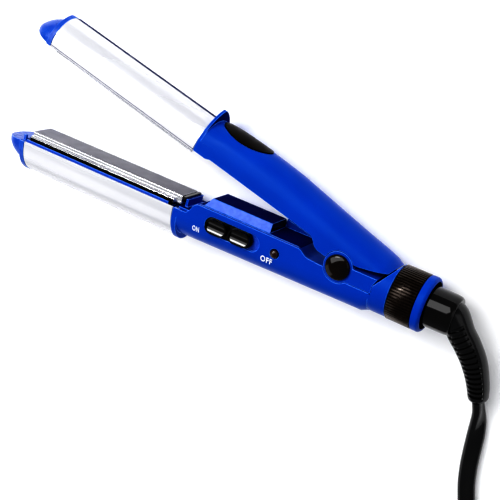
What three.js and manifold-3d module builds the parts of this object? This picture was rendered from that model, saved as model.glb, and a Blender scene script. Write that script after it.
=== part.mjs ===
// A two-jaw hair styler lying on its side: flat plates inside, half-round barrels outside,
// a hinged pair of handles, a ribbed lock ring and a swivel cord.
// Millimetres, +Z up. X runs along the lower arm towards the cord, Y is the opening direction,
// and the hinge axis stands along Z. The origin is under the hinge, on the table.
import * as THREE from 'three';
import { mergeVertices } from 'three/addons/utils/BufferGeometryUtils.js';
import Module from 'manifold-3d';

const wasm = await Module();
wasm.setup();

// ---- driving dimensions ----
const GAP = 0.3; // clearance between neighbouring pieces
const HALF_WIDTH = 12.3; // half of the handle's width, along the hinge axis
const WALL = 1.8; // moulded wall thickness
const REST_HEIGHT = 13.4; // middle plane above the table
const HINGE_Y = 4.1; // hinge axis above the collar's axis
const OPEN_ANGLE = THREE.MathUtils.degToRad(13.7);

const BARREL_FRONT = -187.5;
const BARREL_REAR = -91;
const BARREL_SKIN = 1;
const LOWER_RIM = -1.4; // open edge of the lower barrel
const LOWER_DEPTH = 17.5;
const UPPER_RIM = 7.7; // open edge of the upper barrel, arms closed
const UPPER_DEPTH = 15.8;
const BARREL_WALL = 2; // straight part of a barrel's side
const TIP_LENGTH = 13.6;
const TIP_FLANGE = 2.6;

const PLATE_HALF = 7.1;
const PLATE_FOOT_HALF = 9.1;
const PLATE_FACE = 4.1; // lower plate's working face
const PLATE_REAR = -89.8; // end of the lower plate, over the guard
const LIP_HEIGHT = { lower: 1.2, upper: -1.6 }; // carrier's lip above the barrel's open edge
const HEATER = { length: 62, width: 9, thickness: 2.6 };

const HANDLE_FRONT = -88.5;
const HANDLE_REAR = 17;
const SEAM_Y = 4.9; // top edge of the lower handle
const UPPER_EDGE_Y = 8.9; // bottom edge of the upper handle, arms closed
const LOWER_FLAT = 14; // flat part of the handles' sides
const UPPER_FLAT = 12;

const EAR_RADIUS = 7.4;
const EAR_INNER = 9.3;
const PIN_RADIUS = 2;
const CAP_RADIUS = 6.1;

const COLLAR_X = 26.4;
const COLLAR_LENGTH = 12.2;
const COLLAR_RADIUS = 13.3;
const COLLAR_RIBS = 60;
const SPIGOT_RADIUS = 10.8;
const REAR_RING_X = COLLAR_X + COLLAR_LENGTH + GAP;
const SWIVEL_RADIUS = 9.8;
const SWIVEL_END = 56;

const SLOT = { x: -56.2, y: -2.3, length: 31, width: 8.6, floor: 10.3 };
const SWITCH_TRAVEL = 3.7;
const LENS = { x: -32.1, y: -2.6, radius: 2.2 };

const CORD_WIDTH = 8.4;
const CORD_THICKNESS = 4.2;
const COIL = { x: 48, y: -197, inner: 37, outer: 52.8, bottom: 1.2, top: 18.7 };

const LOWER_SCREWS = [-80, -12];
const UPPER_SCREWS = [-79, -28];
const SCREW = { shank: 1.3, head: 2.7, seat: -13.4 };

// ---- finishes ----
const finish = (color, roughness, metalness) => ({ color, roughness, metalness });
const BLUE = finish(0x0038c8, 0.35, 0);
const BLACK = finish(0x131212, 0.35, 0);
const RUBBER = finish(0x100f0f, 0.6, 0);
const STEEL = finish(0xe6e6ea, 0.22, 1);
const PLATE_GREY = finish(0x807f8c, 0.4, 0.6);
const SPRING_STEEL = finish(0x9a9ca0, 0.3, 1);
const CERAMIC = finish(0xeee8da, 0.7, 0);
const LENS_RED = finish(0x4a100c, 0.15, 0);
const LAMP_GLASS = finish(0xd8c8b8, 0.1, 0);
const BOARD_GREEN = finish(0x2c6a3c, 0.5, 0);
const BRASS = finish(0xb59a5a, 0.3, 1);
const LEAD_WHITE = finish(0xdedad0, 0.6, 0);

// ---- solid helpers ----
function signedVolume(geometry) {
  const position = geometry.getAttribute('position');
  const corners = [new THREE.Vector3(), new THREE.Vector3(), new THREE.Vector3()];
  let volume = 0;
  for (let i = 0; i < geometry.index.count; i += 3) {
    corners.forEach((corner, k) => corner.fromBufferAttribute(position, geometry.index.getX(i + k)));
    volume += corners[0].dot(corners[1].cross(corners[2])) / 6;
  }
  return volume;
}

// The same surface with shared corners merged and its faces pointing out.
function closed(geometry) {
  const bare = new THREE.BufferGeometry();
  bare.setAttribute('position', geometry.getAttribute('position'));
  if (geometry.index) bare.setIndex(geometry.index);
  const merged = mergeVertices(bare, 1e-4);
  if (signedVolume(merged) < 0) merged.index.array.reverse();
  return merged;
}

function solid(geometry) {
  const merged = closed(geometry);
  return new wasm.Manifold(new wasm.Mesh({
    numProp: 3,
    vertProperties: new Float32Array(merged.getAttribute('position').array),
    triVerts: new Uint32Array(merged.index.array),
  }));
}

function geometryOf(body) {
  const mesh = body.getMesh();
  const geometry = new THREE.BufferGeometry();
  geometry.setAttribute('position', new THREE.BufferAttribute(new Float32Array(mesh.vertProperties), 3));
  geometry.setIndex(new THREE.BufferAttribute(new Uint32Array(mesh.triVerts), 1));
  return geometry;
}

const join = (...parts) => geometryOf(parts.map(solid).reduce((a, b) => a.add(b)));
const cut = (base, ...tools) => geometryOf(tools.map(solid).reduce((a, b) => a.subtract(b), solid(base)));
const common = (a, b) => geometryOf(solid(a).intersect(solid(b)));

function box(x0, x1, y0, y1, z0, z1) {
  const geometry = new THREE.BoxGeometry(x1 - x0, y1 - y0, z1 - z0);
  return geometry.translate((x0 + x1) / 2, (y0 + y1) / 2, (z0 + z1) / 2);
}

// An outline in the X-Y plane, extruded from z0 to z1.
function slab(shape, z0, z1, curveSegments = 10) {
  const geometry = new THREE.ExtrudeGeometry(shape, { depth: z1 - z0, bevelEnabled: false, curveSegments });
  return geometry.translate(0, 0, z0);
}

// A section in the Y-Z plane (drawn as z, y), extruded from x0 to x1.
function along(shape, x0, x1, steps = 1, curveSegments = 14) {
  const geometry = new THREE.ExtrudeGeometry(shape, {
    depth: x1 - x0,
    steps,
    bevelEnabled: false,
    curveSegments,
  });
  return geometry.rotateY(Math.PI / 2).translate(x0, 0, 0);
}

function polygon(points) {
  return new THREE.Shape(points.map(([x, y]) => new THREE.Vector2(x, y)));
}

// A turned piece on the X axis, from [x, radius] points.
function turned(points, segments = 48) {
  const profile = points.map(([x, r]) => new THREE.Vector2(r, x));
  return new THREE.LatheGeometry(profile, segments).rotateZ(-Math.PI / 2);
}

// A turned piece on a Z axis through (x, y), from [radius, z] points.
function turnedUp(x, y, points, segments = 32) {
  const profile = points.map(([r, z]) => new THREE.Vector2(r, z));
  return new THREE.LatheGeometry(profile, segments).rotateX(Math.PI / 2).translate(x, y, 0);
}

const rodUp = (x, y, radius, z0, z1) => turnedUp(x, y, [[0, z0], [radius, z0], [radius, z1], [0, z1]]);

// An upright rod along Y at (x, z = 0).
const rodY = (x, radius, y0, y1) => new THREE.CylinderGeometry(radius, radius, y1 - y0, 20)
  .translate(x, (y0 + y1) / 2, 0);

const curveThrough = (points) => new THREE.CatmullRomCurve3(
  points.map((p) => new THREE.Vector3(...p)),
  false,
  'centripetal',
);

// A cord or wire along a curve; its section is an oval of half height and half width.
function tube(points, halfHeight, halfWidth, steps, sides = 8) {
  const section = polygon(Array.from({ length: sides }, (_, i) => {
    const angle = (2 * Math.PI * i) / sides;
    return [halfHeight * Math.cos(angle), halfWidth * Math.sin(angle)];
  }));
  const extrudePath = curveThrough(points);
  return new THREE.ExtrudeGeometry(section, { steps, extrudePath, bevelEnabled: false });
}

// A round tube whose radius changes along it.
function taperedTube(points, radiusAt, steps, sides) {
  const geometry = tube(points, 1, 1, steps, sides);
  const centres = curveThrough(points).getSpacedPoints(steps);
  const position = geometry.getAttribute('position');
  const corner = new THREE.Vector3();
  for (let i = 0; i < position.count; i += 1) {
    corner.fromBufferAttribute(position, i);
    const distances = centres.map((centre) => centre.distanceTo(corner));
    const ring = distances.indexOf(Math.min(...distances));
    corner.sub(centres[ring]).multiplyScalar(radiusAt(ring / steps)).add(centres[ring]);
    position.setXYZ(i, corner.x, corner.y, corner.z);
  }
  return geometry;
}

// Half of a handle or barrel: open edge at y = rim, straight sides, elliptic back.
// side is -1 for the lower arm (back towards -Y) and 1 for the upper arm.
function halfSection(halfWidth, rim, depth, straight, side) {
  const shape = new THREE.Shape();
  const turn = rim + side * straight;
  shape.moveTo(halfWidth, rim);
  shape.lineTo(halfWidth, turn);
  shape.absellipse(0, turn, halfWidth, depth - straight, 0, side * Math.PI, side < 0);
  shape.lineTo(-halfWidth, rim);
  return shape;
}

// A section carried through stations [x, width factor, depth factor]; depth is scaled about y = rim.
function loft(shape, rim, stations, curveSegments = 14) {
  const steps = stations.length - 1;
  const geometry = along(shape, 0, steps, steps, curveSegments);
  const position = geometry.getAttribute('position');
  for (let i = 0; i < position.count; i += 1) {
    const [x, width, depth] = stations[Math.round(position.getX(i))];
    position.setXYZ(i, x, rim + (position.getY(i) - rim) * depth, position.getZ(i) * width);
  }
  return geometry;
}

// Straight-line reading of [x, value] points.
function valueAt(points, x) {
  const last = points.length - 1;
  if (x <= points[0][0]) return points[0][1];
  if (x >= points[last][0]) return points[last][1];
  const i = points.findIndex(([px]) => px > x);
  const [x0, v0] = points[i - 1];
  const [x1, v1] = points[i];
  return v0 + ((v1 - v0) * (x - x0)) / (x1 - x0);
}

function place(group, name, geometry, look) {
  const flat = closed(geometry).toNonIndexed();
  flat.computeVertexNormals();
  const mesh = new THREE.Mesh(flat, new THREE.MeshStandardMaterial(look));
  mesh.name = name;
  group.add(mesh);
}

// ---- heated half of an arm: barrel, carrier, plate, heater, clip and tip ----
function barrel(rim, depth, side) {
  const skin = halfSection(HALF_WIDTH, rim, depth, BARREL_WALL, side);
  const outer = along(skin, BARREL_FRONT, BARREL_REAR, 1, 26);
  const inner = along(
    halfSection(HALF_WIDTH - BARREL_SKIN, rim - side, depth, BARREL_WALL + 1, side),
    BARREL_FRONT - 1,
    BARREL_REAR + 1,
    1,
    26,
  );
  return cut(outer, inner);
}

// Tray between barrel and plate, with a lip inside the barrel's edge. Where the lip stands proud,
// its rear end is cut down to let the plate pass over the guard.
function carrier(rim, side, lipHeight) {
  const half = HALF_WIDTH - BARREL_SKIN - GAP;
  const lip = rim - side * lipHeight;
  const back = rim + side * 3.6;
  const ends = [BARREL_FRONT + 0.6, BARREL_REAR - 0.6];
  const block = box(ends[0], ends[1], Math.min(lip, back), Math.max(lip, back), -half, half);
  const wellFloor = rim + side * 2.2;
  const wellTop = lip - side;
  const well = box(
    ends[0] + 1.2,
    ends[1] - 1.2,
    Math.min(wellFloor, wellTop),
    Math.max(wellFloor, wellTop),
    -PLATE_FOOT_HALF - GAP,
    PLATE_FOOT_HALF + GAP,
  );
  const clipWindow = box(ends[0] + 12, ends[1] - 12, Math.min(back, rim) - 1, Math.max(back, rim) + 1, -5, 5);
  const rearCut = box(BARREL_REAR - 4, BARREL_REAR + 4, rim - 0.9, rim + 9, -half - 1, half + 1);
  return cut(block, well, clipWindow, ...(lipHeight > 0 ? [rearCut] : []));
}

// Plate: a raised face with bevelled edges on a wider foot, hollow behind for the heater.
// The lower one runs on over the guard.
function plate(face, foot, side) {
  const out = -side; // direction the face looks
  const bevel = 0.35;
  const shoulder = face - out * 2.1;
  const outline = polygon([
    [PLATE_HALF - bevel, face],
    [PLATE_HALF, face - out * bevel],
    [PLATE_HALF, shoulder],
    [PLATE_FOOT_HALF - 0.4, shoulder - out * 0.5],
    [PLATE_FOOT_HALF, shoulder - out * 0.9],
    [PLATE_FOOT_HALF, foot],
    [-PLATE_FOOT_HALF, foot],
    [-PLATE_FOOT_HALF, shoulder - out * 0.9],
    [-PLATE_FOOT_HALF + 0.4, shoulder - out * 0.5],
    [-PLATE_HALF, shoulder],
    [-PLATE_HALF, face - out * bevel],
    [-PLATE_HALF + bevel, face],
  ]);
  const bar = along(outline, BARREL_FRONT + 2.2, BARREL_REAR - 2.2);
  const bed = foot + out * (HEATER.thickness + GAP);
  const middle = (BARREL_FRONT + BARREL_REAR) / 2;
  const reach = HEATER.length / 2 + 2;
  const recess = box(
    middle - reach,
    middle + reach,
    Math.min(bed, foot - out),
    Math.max(bed, foot - out),
    -HEATER.width / 2 - GAP,
    HEATER.width / 2 + GAP,
  );
  if (side > 0) return cut(bar, recess);
  const overGuard = polygon([
    [PLATE_HALF - bevel, face],
    [PLATE_HALF, face - bevel],
    [PLATE_HALF, LOWER_RIM + 0.7],
    [-PLATE_HALF, LOWER_RIM + 0.7],
    [-PLATE_HALF, face - bevel],
    [-PLATE_HALF + bevel, face],
  ]);
  return cut(join(bar, along(overGuard, BARREL_REAR - 2.7, PLATE_REAR)), recess);
}

// Black block behind the lower plate, on a leg over the cover's shelf.
const plateStop = () => join(
  box(PLATE_REAR + GAP, -87.6, 2.2, 3.9, -PLATE_HALF - 0.2, PLATE_HALF + 0.2),
  box(PLATE_REAR + GAP, -87.6, -0.3, 2.4, -2.5, 2.5),
);

function heater(foot, side) {
  const out = -side;
  const middle = (BARREL_FRONT + BARREL_REAR) / 2;
  const top = foot + out * HEATER.thickness;
  const low = Math.min(foot, top);
  return box(middle - HEATER.length / 2, middle + HEATER.length / 2, low, low + HEATER.thickness,
    -HEATER.width / 2, HEATER.width / 2);
}

// Bowed leaf that presses the heater against its plate from inside the barrel.
function springClip(foot, rim, depth, side) {
  const middle = (BARREL_FRONT + BARREL_REAR) / 2;
  const half = 24;
  const near = foot + side * GAP;
  const far = rim + side * (depth - BARREL_SKIN - 2);
  const crown = far + (far - near) * 0.7;
  const thickness = side * 0.7;
  const shape = new THREE.Shape();
  shape.moveTo(middle - half, near);
  shape.lineTo(middle - half + 8, near);
  shape.quadraticCurveTo(middle, crown, middle + half - 8, near);
  shape.lineTo(middle + half, near);
  shape.lineTo(middle + half, near + thickness);
  shape.lineTo(middle + half - 7.6, near + thickness);
  shape.quadraticCurveTo(middle, crown + thickness * 2, middle - half + 7.6, near + thickness);
  shape.lineTo(middle - half, near + thickness);
  return slab(shape, -3.5, 3.5, 12);
}

// End cap: a flange as big as the barrel's end, with a nose that narrows to a blunt point.
function tipCap(rim, depth, side) {
  const x0 = BARREL_FRONT - GAP;
  const rimOutline = halfSection(HALF_WIDTH + 0.2, rim, depth + 0.2, BARREL_WALL, side);
  const flange = along(rimOutline, x0 - TIP_FLANGE, x0, 1, 18);
  const noseRoot = x0 - TIP_FLANGE + 0.4;
  const stations = [1, 0.96, 0.87, 0.72, 0.5, 0.28, 0].map((t) => [
    noseRoot - TIP_LENGTH * t,
    Math.sqrt(1 - (0.985 * t) ** 2.4),
    Math.sqrt(1 - (0.97 * t) ** 2) * (1 - 0.35 * t),
  ]);
  const nose = loft(halfSection(HALF_WIDTH - 0.6, rim, depth * 0.8, 3, side), rim, stations, 10);
  return join(flange, nose);
}

function heatedHalf(group, arm, rim, depth, face, side) {
  const foot = rim + side * 1.7;
  place(group, `${arm}_barrel`, barrel(rim, depth, side), STEEL);
  place(group, `${arm}_plate_carrier`, carrier(rim, side, LIP_HEIGHT[arm]), BLUE);
  place(group, `${arm}_plate`, plate(face, foot, side), PLATE_GREY);
  place(group, `${arm}_heater`, heater(foot, side), CERAMIC);
  place(group, `${arm}_heater_clip`, springClip(foot, rim, depth, side), SPRING_STEEL);
  place(group, `${arm}_tip_cap`, tipCap(rim, depth, side), BLUE);
}

// ---- lower handle ----
const LOWER_BACK = [[HANDLE_FRONT, -16.7], [14, -14.7], [HANDLE_REAR, -13.2]]; // outer back, [x, y]
const NECK_SLOPE = [[18.3, 2.4], [26.2, 13.3]]; // sloped top of the neck behind the hinge
const BODY_TOP = SEAM_Y + 3; // the handle's block before it is cut along the seam
const BODY_DEPTH = 30;

// Stations of a handle's block from x0 to x1, with its back read from an outline.
function handleStations(back, x0, x1, depthAt) {
  const inside = back.map(([x]) => x).filter((x) => x > x0 && x < x1);
  return [x0, ...inside, x1].map((x) => [x, 1, depthAt(valueAt(back, x)) / BODY_DEPTH]);
}

function lowerBody(inset, x0, x1) {
  const section = halfSection(HALF_WIDTH - inset, BODY_TOP, BODY_DEPTH, LOWER_FLAT, -1);
  return loft(section, BODY_TOP, handleStations(LOWER_BACK, x0, x1, (y) => BODY_TOP - y - inset));
}

// Everything above the seam between the lower handle and its cover.
function aboveSeam() {
  const shape = new THREE.Shape();
  shape.moveTo(-100, LOWER_RIM);
  shape.lineTo(-84.2, LOWER_RIM);
  shape.bezierCurveTo(-81, LOWER_RIM, -81, SEAM_Y, -77, SEAM_Y);
  shape.lineTo(-21.3, SEAM_Y);
  shape.bezierCurveTo(-19, SEAM_Y, -18, 2, -14.5, 1.9);
  shape.lineTo(-7.6, 1.5);
  shape.absarc(0, HINGE_Y, EAR_RADIUS + GAP, Math.PI + 0.34, Math.PI * 2 - 0.85, false);
  shape.lineTo(5.6, -1.7);
  shape.lineTo(NECK_SLOPE[0][0], -1.7);
  shape.lineTo(...NECK_SLOPE[0]);
  shape.lineTo(...NECK_SLOPE[1]);
  shape.lineTo(30, 20);
  shape.lineTo(30, 30);
  shape.lineTo(-100, 30);
  return slab(shape, -30, 30, 12);
}

function stadium(x, y, length, width) {
  const r = width / 2;
  const reach = length / 2 - r;
  const shape = new THREE.Shape();
  shape.absarc(x + reach, y, r, -Math.PI / 2, Math.PI / 2, false);
  shape.absarc(x - reach, y, r, Math.PI / 2, (3 * Math.PI) / 2, false);
  return shape;
}

// Thin disc between barrel and handle; a narrowing above 1 gives its back a more pointed outline.
function guardDisc(rim, depth, straight, side, narrowing) {
  const outline = [[HALF_WIDTH, rim]];
  for (let i = 0; i <= 28; i += 1) {
    const angle = (Math.PI * i) / 28;
    const part = Math.abs(Math.cos(angle)) ** narrowing * Math.sign(Math.cos(angle));
    outline.push([HALF_WIDTH * part, rim + side * (straight + (depth - straight) * Math.sin(angle))]);
  }
  outline.push([-HALF_WIDTH, rim]);
  return along(polygon(outline), BARREL_REAR + GAP, HANDLE_FRONT + 0.4);
}

function lowerHousing() {
  const guard = guardDisc(LOWER_RIM, LOWER_DEPTH + 0.9, 3, -1, 1);
  const spigotEnd = COLLAR_X + COLLAR_LENGTH;
  const neckEnd = COLLAR_X - GAP;
  const neck = turned([[16, 0], [16, 12.2], [18.5, 12.9], [neckEnd, 12.9], [neckEnd, SPIGOT_RADIUS],
    [spigotEnd, SPIGOT_RADIUS], [spigotEnd, 0]]);
  const body = cut(join(lowerBody(0, HANDLE_FRONT, HANDLE_REAR), neck), aboveSeam());
  const cavity = lowerBody(WALL, BARREL_REAR - 2, 15);
  const bore = turned([[8, 0], [8, 9.5], [28, 9.5], [28, 6.9], [45, 6.9], [45, 0]], 36);
  const shell = cut(join(body, guard), cavity, bore);
  const switchBoss = box(-74, -38.5, -7.6, SEAM_Y - 2, 8.4, HALF_WIDTH - 1);
  const screwBosses = LOWER_SCREWS.map((x) => rodY(x, 4.4, -14.8, -10.5));
  const slot = slab(stadium(SLOT.x, SLOT.y, SLOT.length, SLOT.width), SLOT.floor, 20);
  const stemSlot = box(-66, -46.5, SLOT.y - 1.7, SLOT.y + 1.7, 5, 15);
  const lensHole = join(
    rodUp(LENS.x, LENS.y, LENS.radius + GAP, 5, 20),
    rodUp(LENS.x, LENS.y, LENS.radius + 1, 5, 10.4),
  );
  const screwHoles = LOWER_SCREWS.map((x) => join(
    rodY(x, SCREW.shank + GAP, -20, -5),
    rodY(x, SCREW.head + GAP, -25, SCREW.seat),
  ));
  return cut(join(shell, switchBoss, ...screwBosses), slot, stemSlot, lensHole, ...screwHoles);
}

// Cover on the lower handle's inner side: shelf with a ridge and two slots at the plate's end,
// flat with a raised block, low rib on the far side, dip and cradle under the hinge, ears on both sides
// and a heel behind them.
function lowerCover() {
  const half = HALF_WIDTH - WALL - GAP;
  const floor = new THREE.Shape();
  floor.moveTo(-88.8, -0.6);
  floor.lineTo(-83, -0.6);
  floor.bezierCurveTo(-80, -0.6, -80.5, SEAM_Y, -76.5, SEAM_Y);
  floor.lineTo(-22.5, SEAM_Y);
  floor.bezierCurveTo(-19.5, SEAM_Y, -19, 1.3, -15.5, 1.1);
  floor.lineTo(-9, 0.9);
  floor.absarc(0, HINGE_Y, EAR_RADIUS + GAP, Math.PI + 0.44, Math.PI * 2 - 0.5, false);
  floor.lineTo(9, 1.5);
  floor.lineTo(9, -1.2);
  floor.absarc(0, HINGE_Y, EAR_RADIUS + 2, Math.PI * 2 - 0.72, Math.PI + 0.55, true);
  floor.lineTo(-15.8, -0.7);
  floor.bezierCurveTo(-20.5, -0.5, -20.5, 3.2, -24, 3.2);
  floor.lineTo(-75.5, 3.2);
  floor.bezierCurveTo(-79, 3.2, -78.8, -2.2, -82.4, -2.2);
  floor.lineTo(-88.8, -2.2);
  const block = slab(polygon([[-76, 4], [-73, 9], [-39, 9], [-38, 4]]), -9.4, 9.4);
  const raised = cut(block, sideSlope(1), sideSlope(-1));
  const ears = [slab(earShape(), EAR_INNER, HALF_WIDTH, 14), slab(earShape(), -HALF_WIDTH, -EAR_INNER, 14)];
  const heelSide = polygon([[8.2, -1.4], [18, -1.4], [18, 2.3], [19.6, 5.9], [8.2, 5.9]]);
  const heel = slab(heelSide, -HALF_WIDTH, HALF_WIDTH);
  const ribSide = polygon([[-38.4, 4], [-38.4, 9], [-33, 7.8], [-27, 6.4], [-23.5, 4.9], [-23.5, 4]]);
  const farRib = slab(ribSide, -10.1, -7);
  const posts = LOWER_SCREWS.map((x) => rodY(x, 3, -9, -0.4));
  const ridge = box(-87.3, -86, -0.9, 3.3, -PLATE_HALF, PLATE_HALF);
  const shelfSlots = [box(-85.5, -83.6, -5, 2, 1.5, 8), box(-85.5, -83.6, -5, 2, -8, -1.5)];
  const pinBore = rodUp(0, HINGE_Y, PIN_RADIUS + GAP, -20, 20);
  const screwBores = LOWER_SCREWS.map((x) => rodY(x, SCREW.shank + GAP, -12, -1.6));
  const fittedFloor = common(slab(floor, -half, half, 12), lowerBody(WALL + GAP, BARREL_REAR, 15));
  const cover = join(fittedFloor, raised, farRib, ridge, ...ears, heel, ...posts);
  return cut(cover, pinBore, ...shelfSlots, ...screwBores);
}

function earShape() {
  const shape = new THREE.Shape();
  shape.moveTo(9, -1.4);
  shape.lineTo(9, 5.9);
  shape.lineTo(7.2, 5.9);
  shape.absarc(0, HINGE_Y, EAR_RADIUS, 0.246, Math.PI * 2 - 0.84, false);
  return shape;
}

// Wedge that slopes one long side of the raised block.
function sideSlope(sign) {
  const outline = [[-sign * 9.5, 4.9], [-sign * 14, 4.9], [-sign * 14, 12], [-sign * 5.2, 12]];
  return along(polygon(outline), -90, -20);
}

// ---- hinge hardware ----
function nearCap() {
  const r = CAP_RADIUS;
  return turnedUp(0, HINGE_Y, [[0, 12.6], [r, 12.6], [r, 13], [r * 0.93, 13.7], [r * 0.75, 14.3],
    [r * 0.4, 14.8], [0, 14.9]], 40);
}

function farCap() {
  const r = CAP_RADIUS;
  const top = -12.6;
  const bottom = -REST_HEIGHT;
  return turnedUp(0, HINGE_Y, [[0, bottom], [r - 0.4, bottom], [r, bottom + 0.4], [r, top], [0, top]], 40);
}

// Torsion spring round the pin, both legs pointing forwards.
function openingSpring() {
  const radius = 3.6;
  const turns = 3.5;
  const perTurn = 12;
  const halfHeight = 2.2;
  const points = [[-5.5, HINGE_Y - radius, -halfHeight]];
  for (let i = 0; i <= turns * perTurn; i += 1) {
    const angle = -Math.PI / 2 + (2 * Math.PI * i) / perTurn;
    const z = -halfHeight + (2 * halfHeight * i) / (turns * perTurn);
    points.push([radius * Math.cos(angle), HINGE_Y + radius * Math.sin(angle), z]);
  }
  points.push([-5, HINGE_Y + radius + 0.2, halfHeight], [-8.5, HINGE_Y + radius + 0.5, halfHeight]);
  return tube(points, 0.5, 0.5, 80, 6);
}

// ---- switch, lamp and wiring in the lower handle ----
function slider() {
  const length = SLOT.length - 2 * GAP - SWITCH_TRAVEL;
  const x = SLOT.x - SWITCH_TRAVEL / 2;
  const base = slab(stadium(x, SLOT.y, length, SLOT.width - 2 * GAP), SLOT.floor + GAP, 11.6, 8);
  const pads = [-6.6, 6.6].map((offset) => slab(stadium(x + offset, SLOT.y, 12, 7.2), 11, 14, 8));
  const stem = box(x - 4, x + 4, SLOT.y - 1.3, SLOT.y + 1.3, 6.6, 11);
  return join(base, ...pads, stem);
}

function switchBody() {
  const block = box(-67, -45, -7.4, 2.6, 0.6, 8);
  const groove = box(-65, -47, SLOT.y - 1.7, SLOT.y + 1.7, 6, 9);
  const tags = [-64, -56, -48].map((x) => box(x - 0.4, x + 0.4, -4, -1, -3.4, 1));
  return join(cut(block, groove), ...tags);
}

function indicatorLens() {
  const r = LENS.radius;
  return turnedUp(LENS.x, LENS.y, [[0, 9], [r + 0.7, 9], [r + 0.7, 10.1], [r, 10.1], [r, 12.4],
    [r * 0.87, 13], [r * 0.5, 13.5], [0, 13.7]], 20);
}

function indicatorLamp() {
  return turnedUp(LENS.x, LENS.y, [[0, 3.9], [1.5, 3.9], [1.5, 7.6], [1, 8.3], [0, 8.6]], 16);
}

const thermalFuse = () => turned([[-101, 0], [-101, 1.8], [-91, 1.8], [-91, 0]], 16).translate(0, -9, 0);

const SUPPLY_PATH = [[19.4, -2.8, -3], [8, -7.6, 0], [-20, -9, 0], [-43, -9.4, 0]];
const LOWER_HEATER_PATH = [[-69, -9, 0], [-73, -9.2, 0], [-88, -9, -0.5], [-104, -7.2, -2]];
const UPPER_HEATER_PATH = [[-8, 15.5, 0], [-50, 16, 0], [-86, 15, 0], [-104, 13.2, -2]];

// Two wires side by side, held by a clip at one of the path's points.
function leadPair(path, halfSpacing, clipIndex) {
  const [clipX, clipY, clipSpread] = path[clipIndex];
  const reach = halfSpacing + clipSpread + 1;
  const wires = [1, -1].map((sign) => tube(
    path.map(([x, y, spread]) => [x, y, sign * (halfSpacing + spread)]),
    0.8,
    0.8,
    14,
    6,
  ));
  return join(...wires, box(clipX - 1.5, clipX + 1.5, clipY - 1, clipY + 1, -reach, reach));
}

const coverScrew = (x) => join(
  rodY(x, SCREW.shank, SCREW.seat - 0.5, -3),
  rodY(x, SCREW.head, SCREW.seat - 1.5, SCREW.seat - GAP),
);

// ---- collar and swivel ----
function lockRing() {
  const step = (2 * Math.PI) / COLLAR_RIBS;
  const corners = [];
  for (let i = 0; i < COLLAR_RIBS; i += 1) {
    [[0.14, -0.45], [0.34, 0], [0.8, 0], [1, -0.45]].forEach(([part, inset]) => {
      const angle = (i + part) * step;
      corners.push([(COLLAR_RADIUS + inset) * Math.cos(angle), (COLLAR_RADIUS + inset) * Math.sin(angle)]);
    });
  }
  const shape = polygon(corners);
  const hole = new THREE.Path();
  hole.absarc(0, 0, SPIGOT_RADIUS + GAP, 0, Math.PI * 2, true);
  shape.holes.push(hole);
  return along(shape, COLLAR_X, COLLAR_X + COLLAR_LENGTH, 1, 20);
}

function rearRing() {
  const x = REAR_RING_X;
  const bore = SWIVEL_RADIUS + 1.6;
  const end = x + 4.3;
  return turned([[x, 7.4], [x, COLLAR_RADIUS], [end - 1, COLLAR_RADIUS], [end, COLLAR_RADIUS - 1],
    [end, bore], [x + 1.2, bore], [x + 1.2, 7.4], [x, 7.4]]);
}

function swivelBody() {
  const x = REAR_RING_X + 1.5;
  return turned([[20, 3.2], [20, 9], [27.7, 9], [27.7, 6.5], [x, 6.5], [x, SWIVEL_RADIUS],
    [SWIVEL_END - 1.5, 9.4], [SWIVEL_END, 8.4], [SWIVEL_END, 3.2], [20, 3.2]], 40);
}

// ---- upper handle, drawn with the arms closed ----
const UPPER_BACK = [[-91, 24], [-76, 25.5], [-45, 25.3], [-24, 23.3], [-2, 21], [17, 19.1], [22, 17.2]];
const UPPER_BASE = 4.4; // lowest edge of the upper handle, in front of the hinge
const UPPER_END = 22;

function upperBody(inset, x0, x1, lift = 0) {
  const section = halfSection(HALF_WIDTH - inset, UPPER_BASE, BODY_DEPTH, UPPER_FLAT, 1);
  return loft(section, UPPER_BASE, handleStations(UPPER_BACK, x0, x1, (y) => y + lift - UPPER_BASE - inset));
}

// Everything below the upper handle's edge: its straight edge, the notch, the arc round the ear, the heel.
function belowEdge() {
  const shape = new THREE.Shape();
  shape.moveTo(-100, UPPER_RIM + 0.5);
  shape.lineTo(-84, UPPER_RIM + 0.5);
  shape.quadraticCurveTo(-81, UPPER_RIM + 0.6, -80.4, UPPER_EDGE_Y + 0.3);
  shape.lineTo(-20.5, UPPER_EDGE_Y);
  shape.bezierCurveTo(-15.5, UPPER_EDGE_Y, -16.6, UPPER_BASE + 0.2, -11.5, UPPER_BASE + 0.2);
  shape.lineTo(-EAR_RADIUS - GAP, UPPER_BASE + 0.2);
  shape.absarc(0, HINGE_Y, EAR_RADIUS + GAP, Math.PI - 0.06, 0.75, true);
  shape.lineTo(7.4, 9.7);
  shape.lineTo(20.9, 14.7);
  shape.lineTo(22.3, 18.4);
  shape.lineTo(30, 18.4);
  shape.lineTo(30, -30);
  shape.lineTo(-100, -30);
  return slab(shape, -30, 30, 14);
}

function upperHousing() {
  const guard = guardDisc(UPPER_RIM, 22, 4, 1, 1.3);
  const cavity = upperBody(WALL, BARREL_REAR - 2, UPPER_END - 2.5);
  const shell = cut(join(upperBody(0, HANDLE_FRONT, UPPER_END), guard), cavity, belowEdge(), padRecess());
  const hubs = [[3.3, 9], [-9, -3.3]].map(([z0, z1]) => rodUp(0, HINGE_Y, 6.9, z0, z1));
  const web = box(-4.5, 4.5, 9.4, 20, -9, 9);
  const ribs = box(-4.5, 4.5, 13, 18, -11.2, 11.2);
  const posts = UPPER_SCREWS.map((x) => rodY(x, 3.2, 12.5, valueAt(UPPER_BACK, x) - WALL + 0.4));
  const screwBores = UPPER_SCREWS.map((x) => rodY(x, SCREW.shank + GAP, 10, 20));
  return cut(
    join(shell, ...hubs, web, ribs, ...posts),
    rodUp(0, HINGE_Y, PIN_RADIUS + GAP, -20, 20),
    ...screwBores,
  );
}

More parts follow.
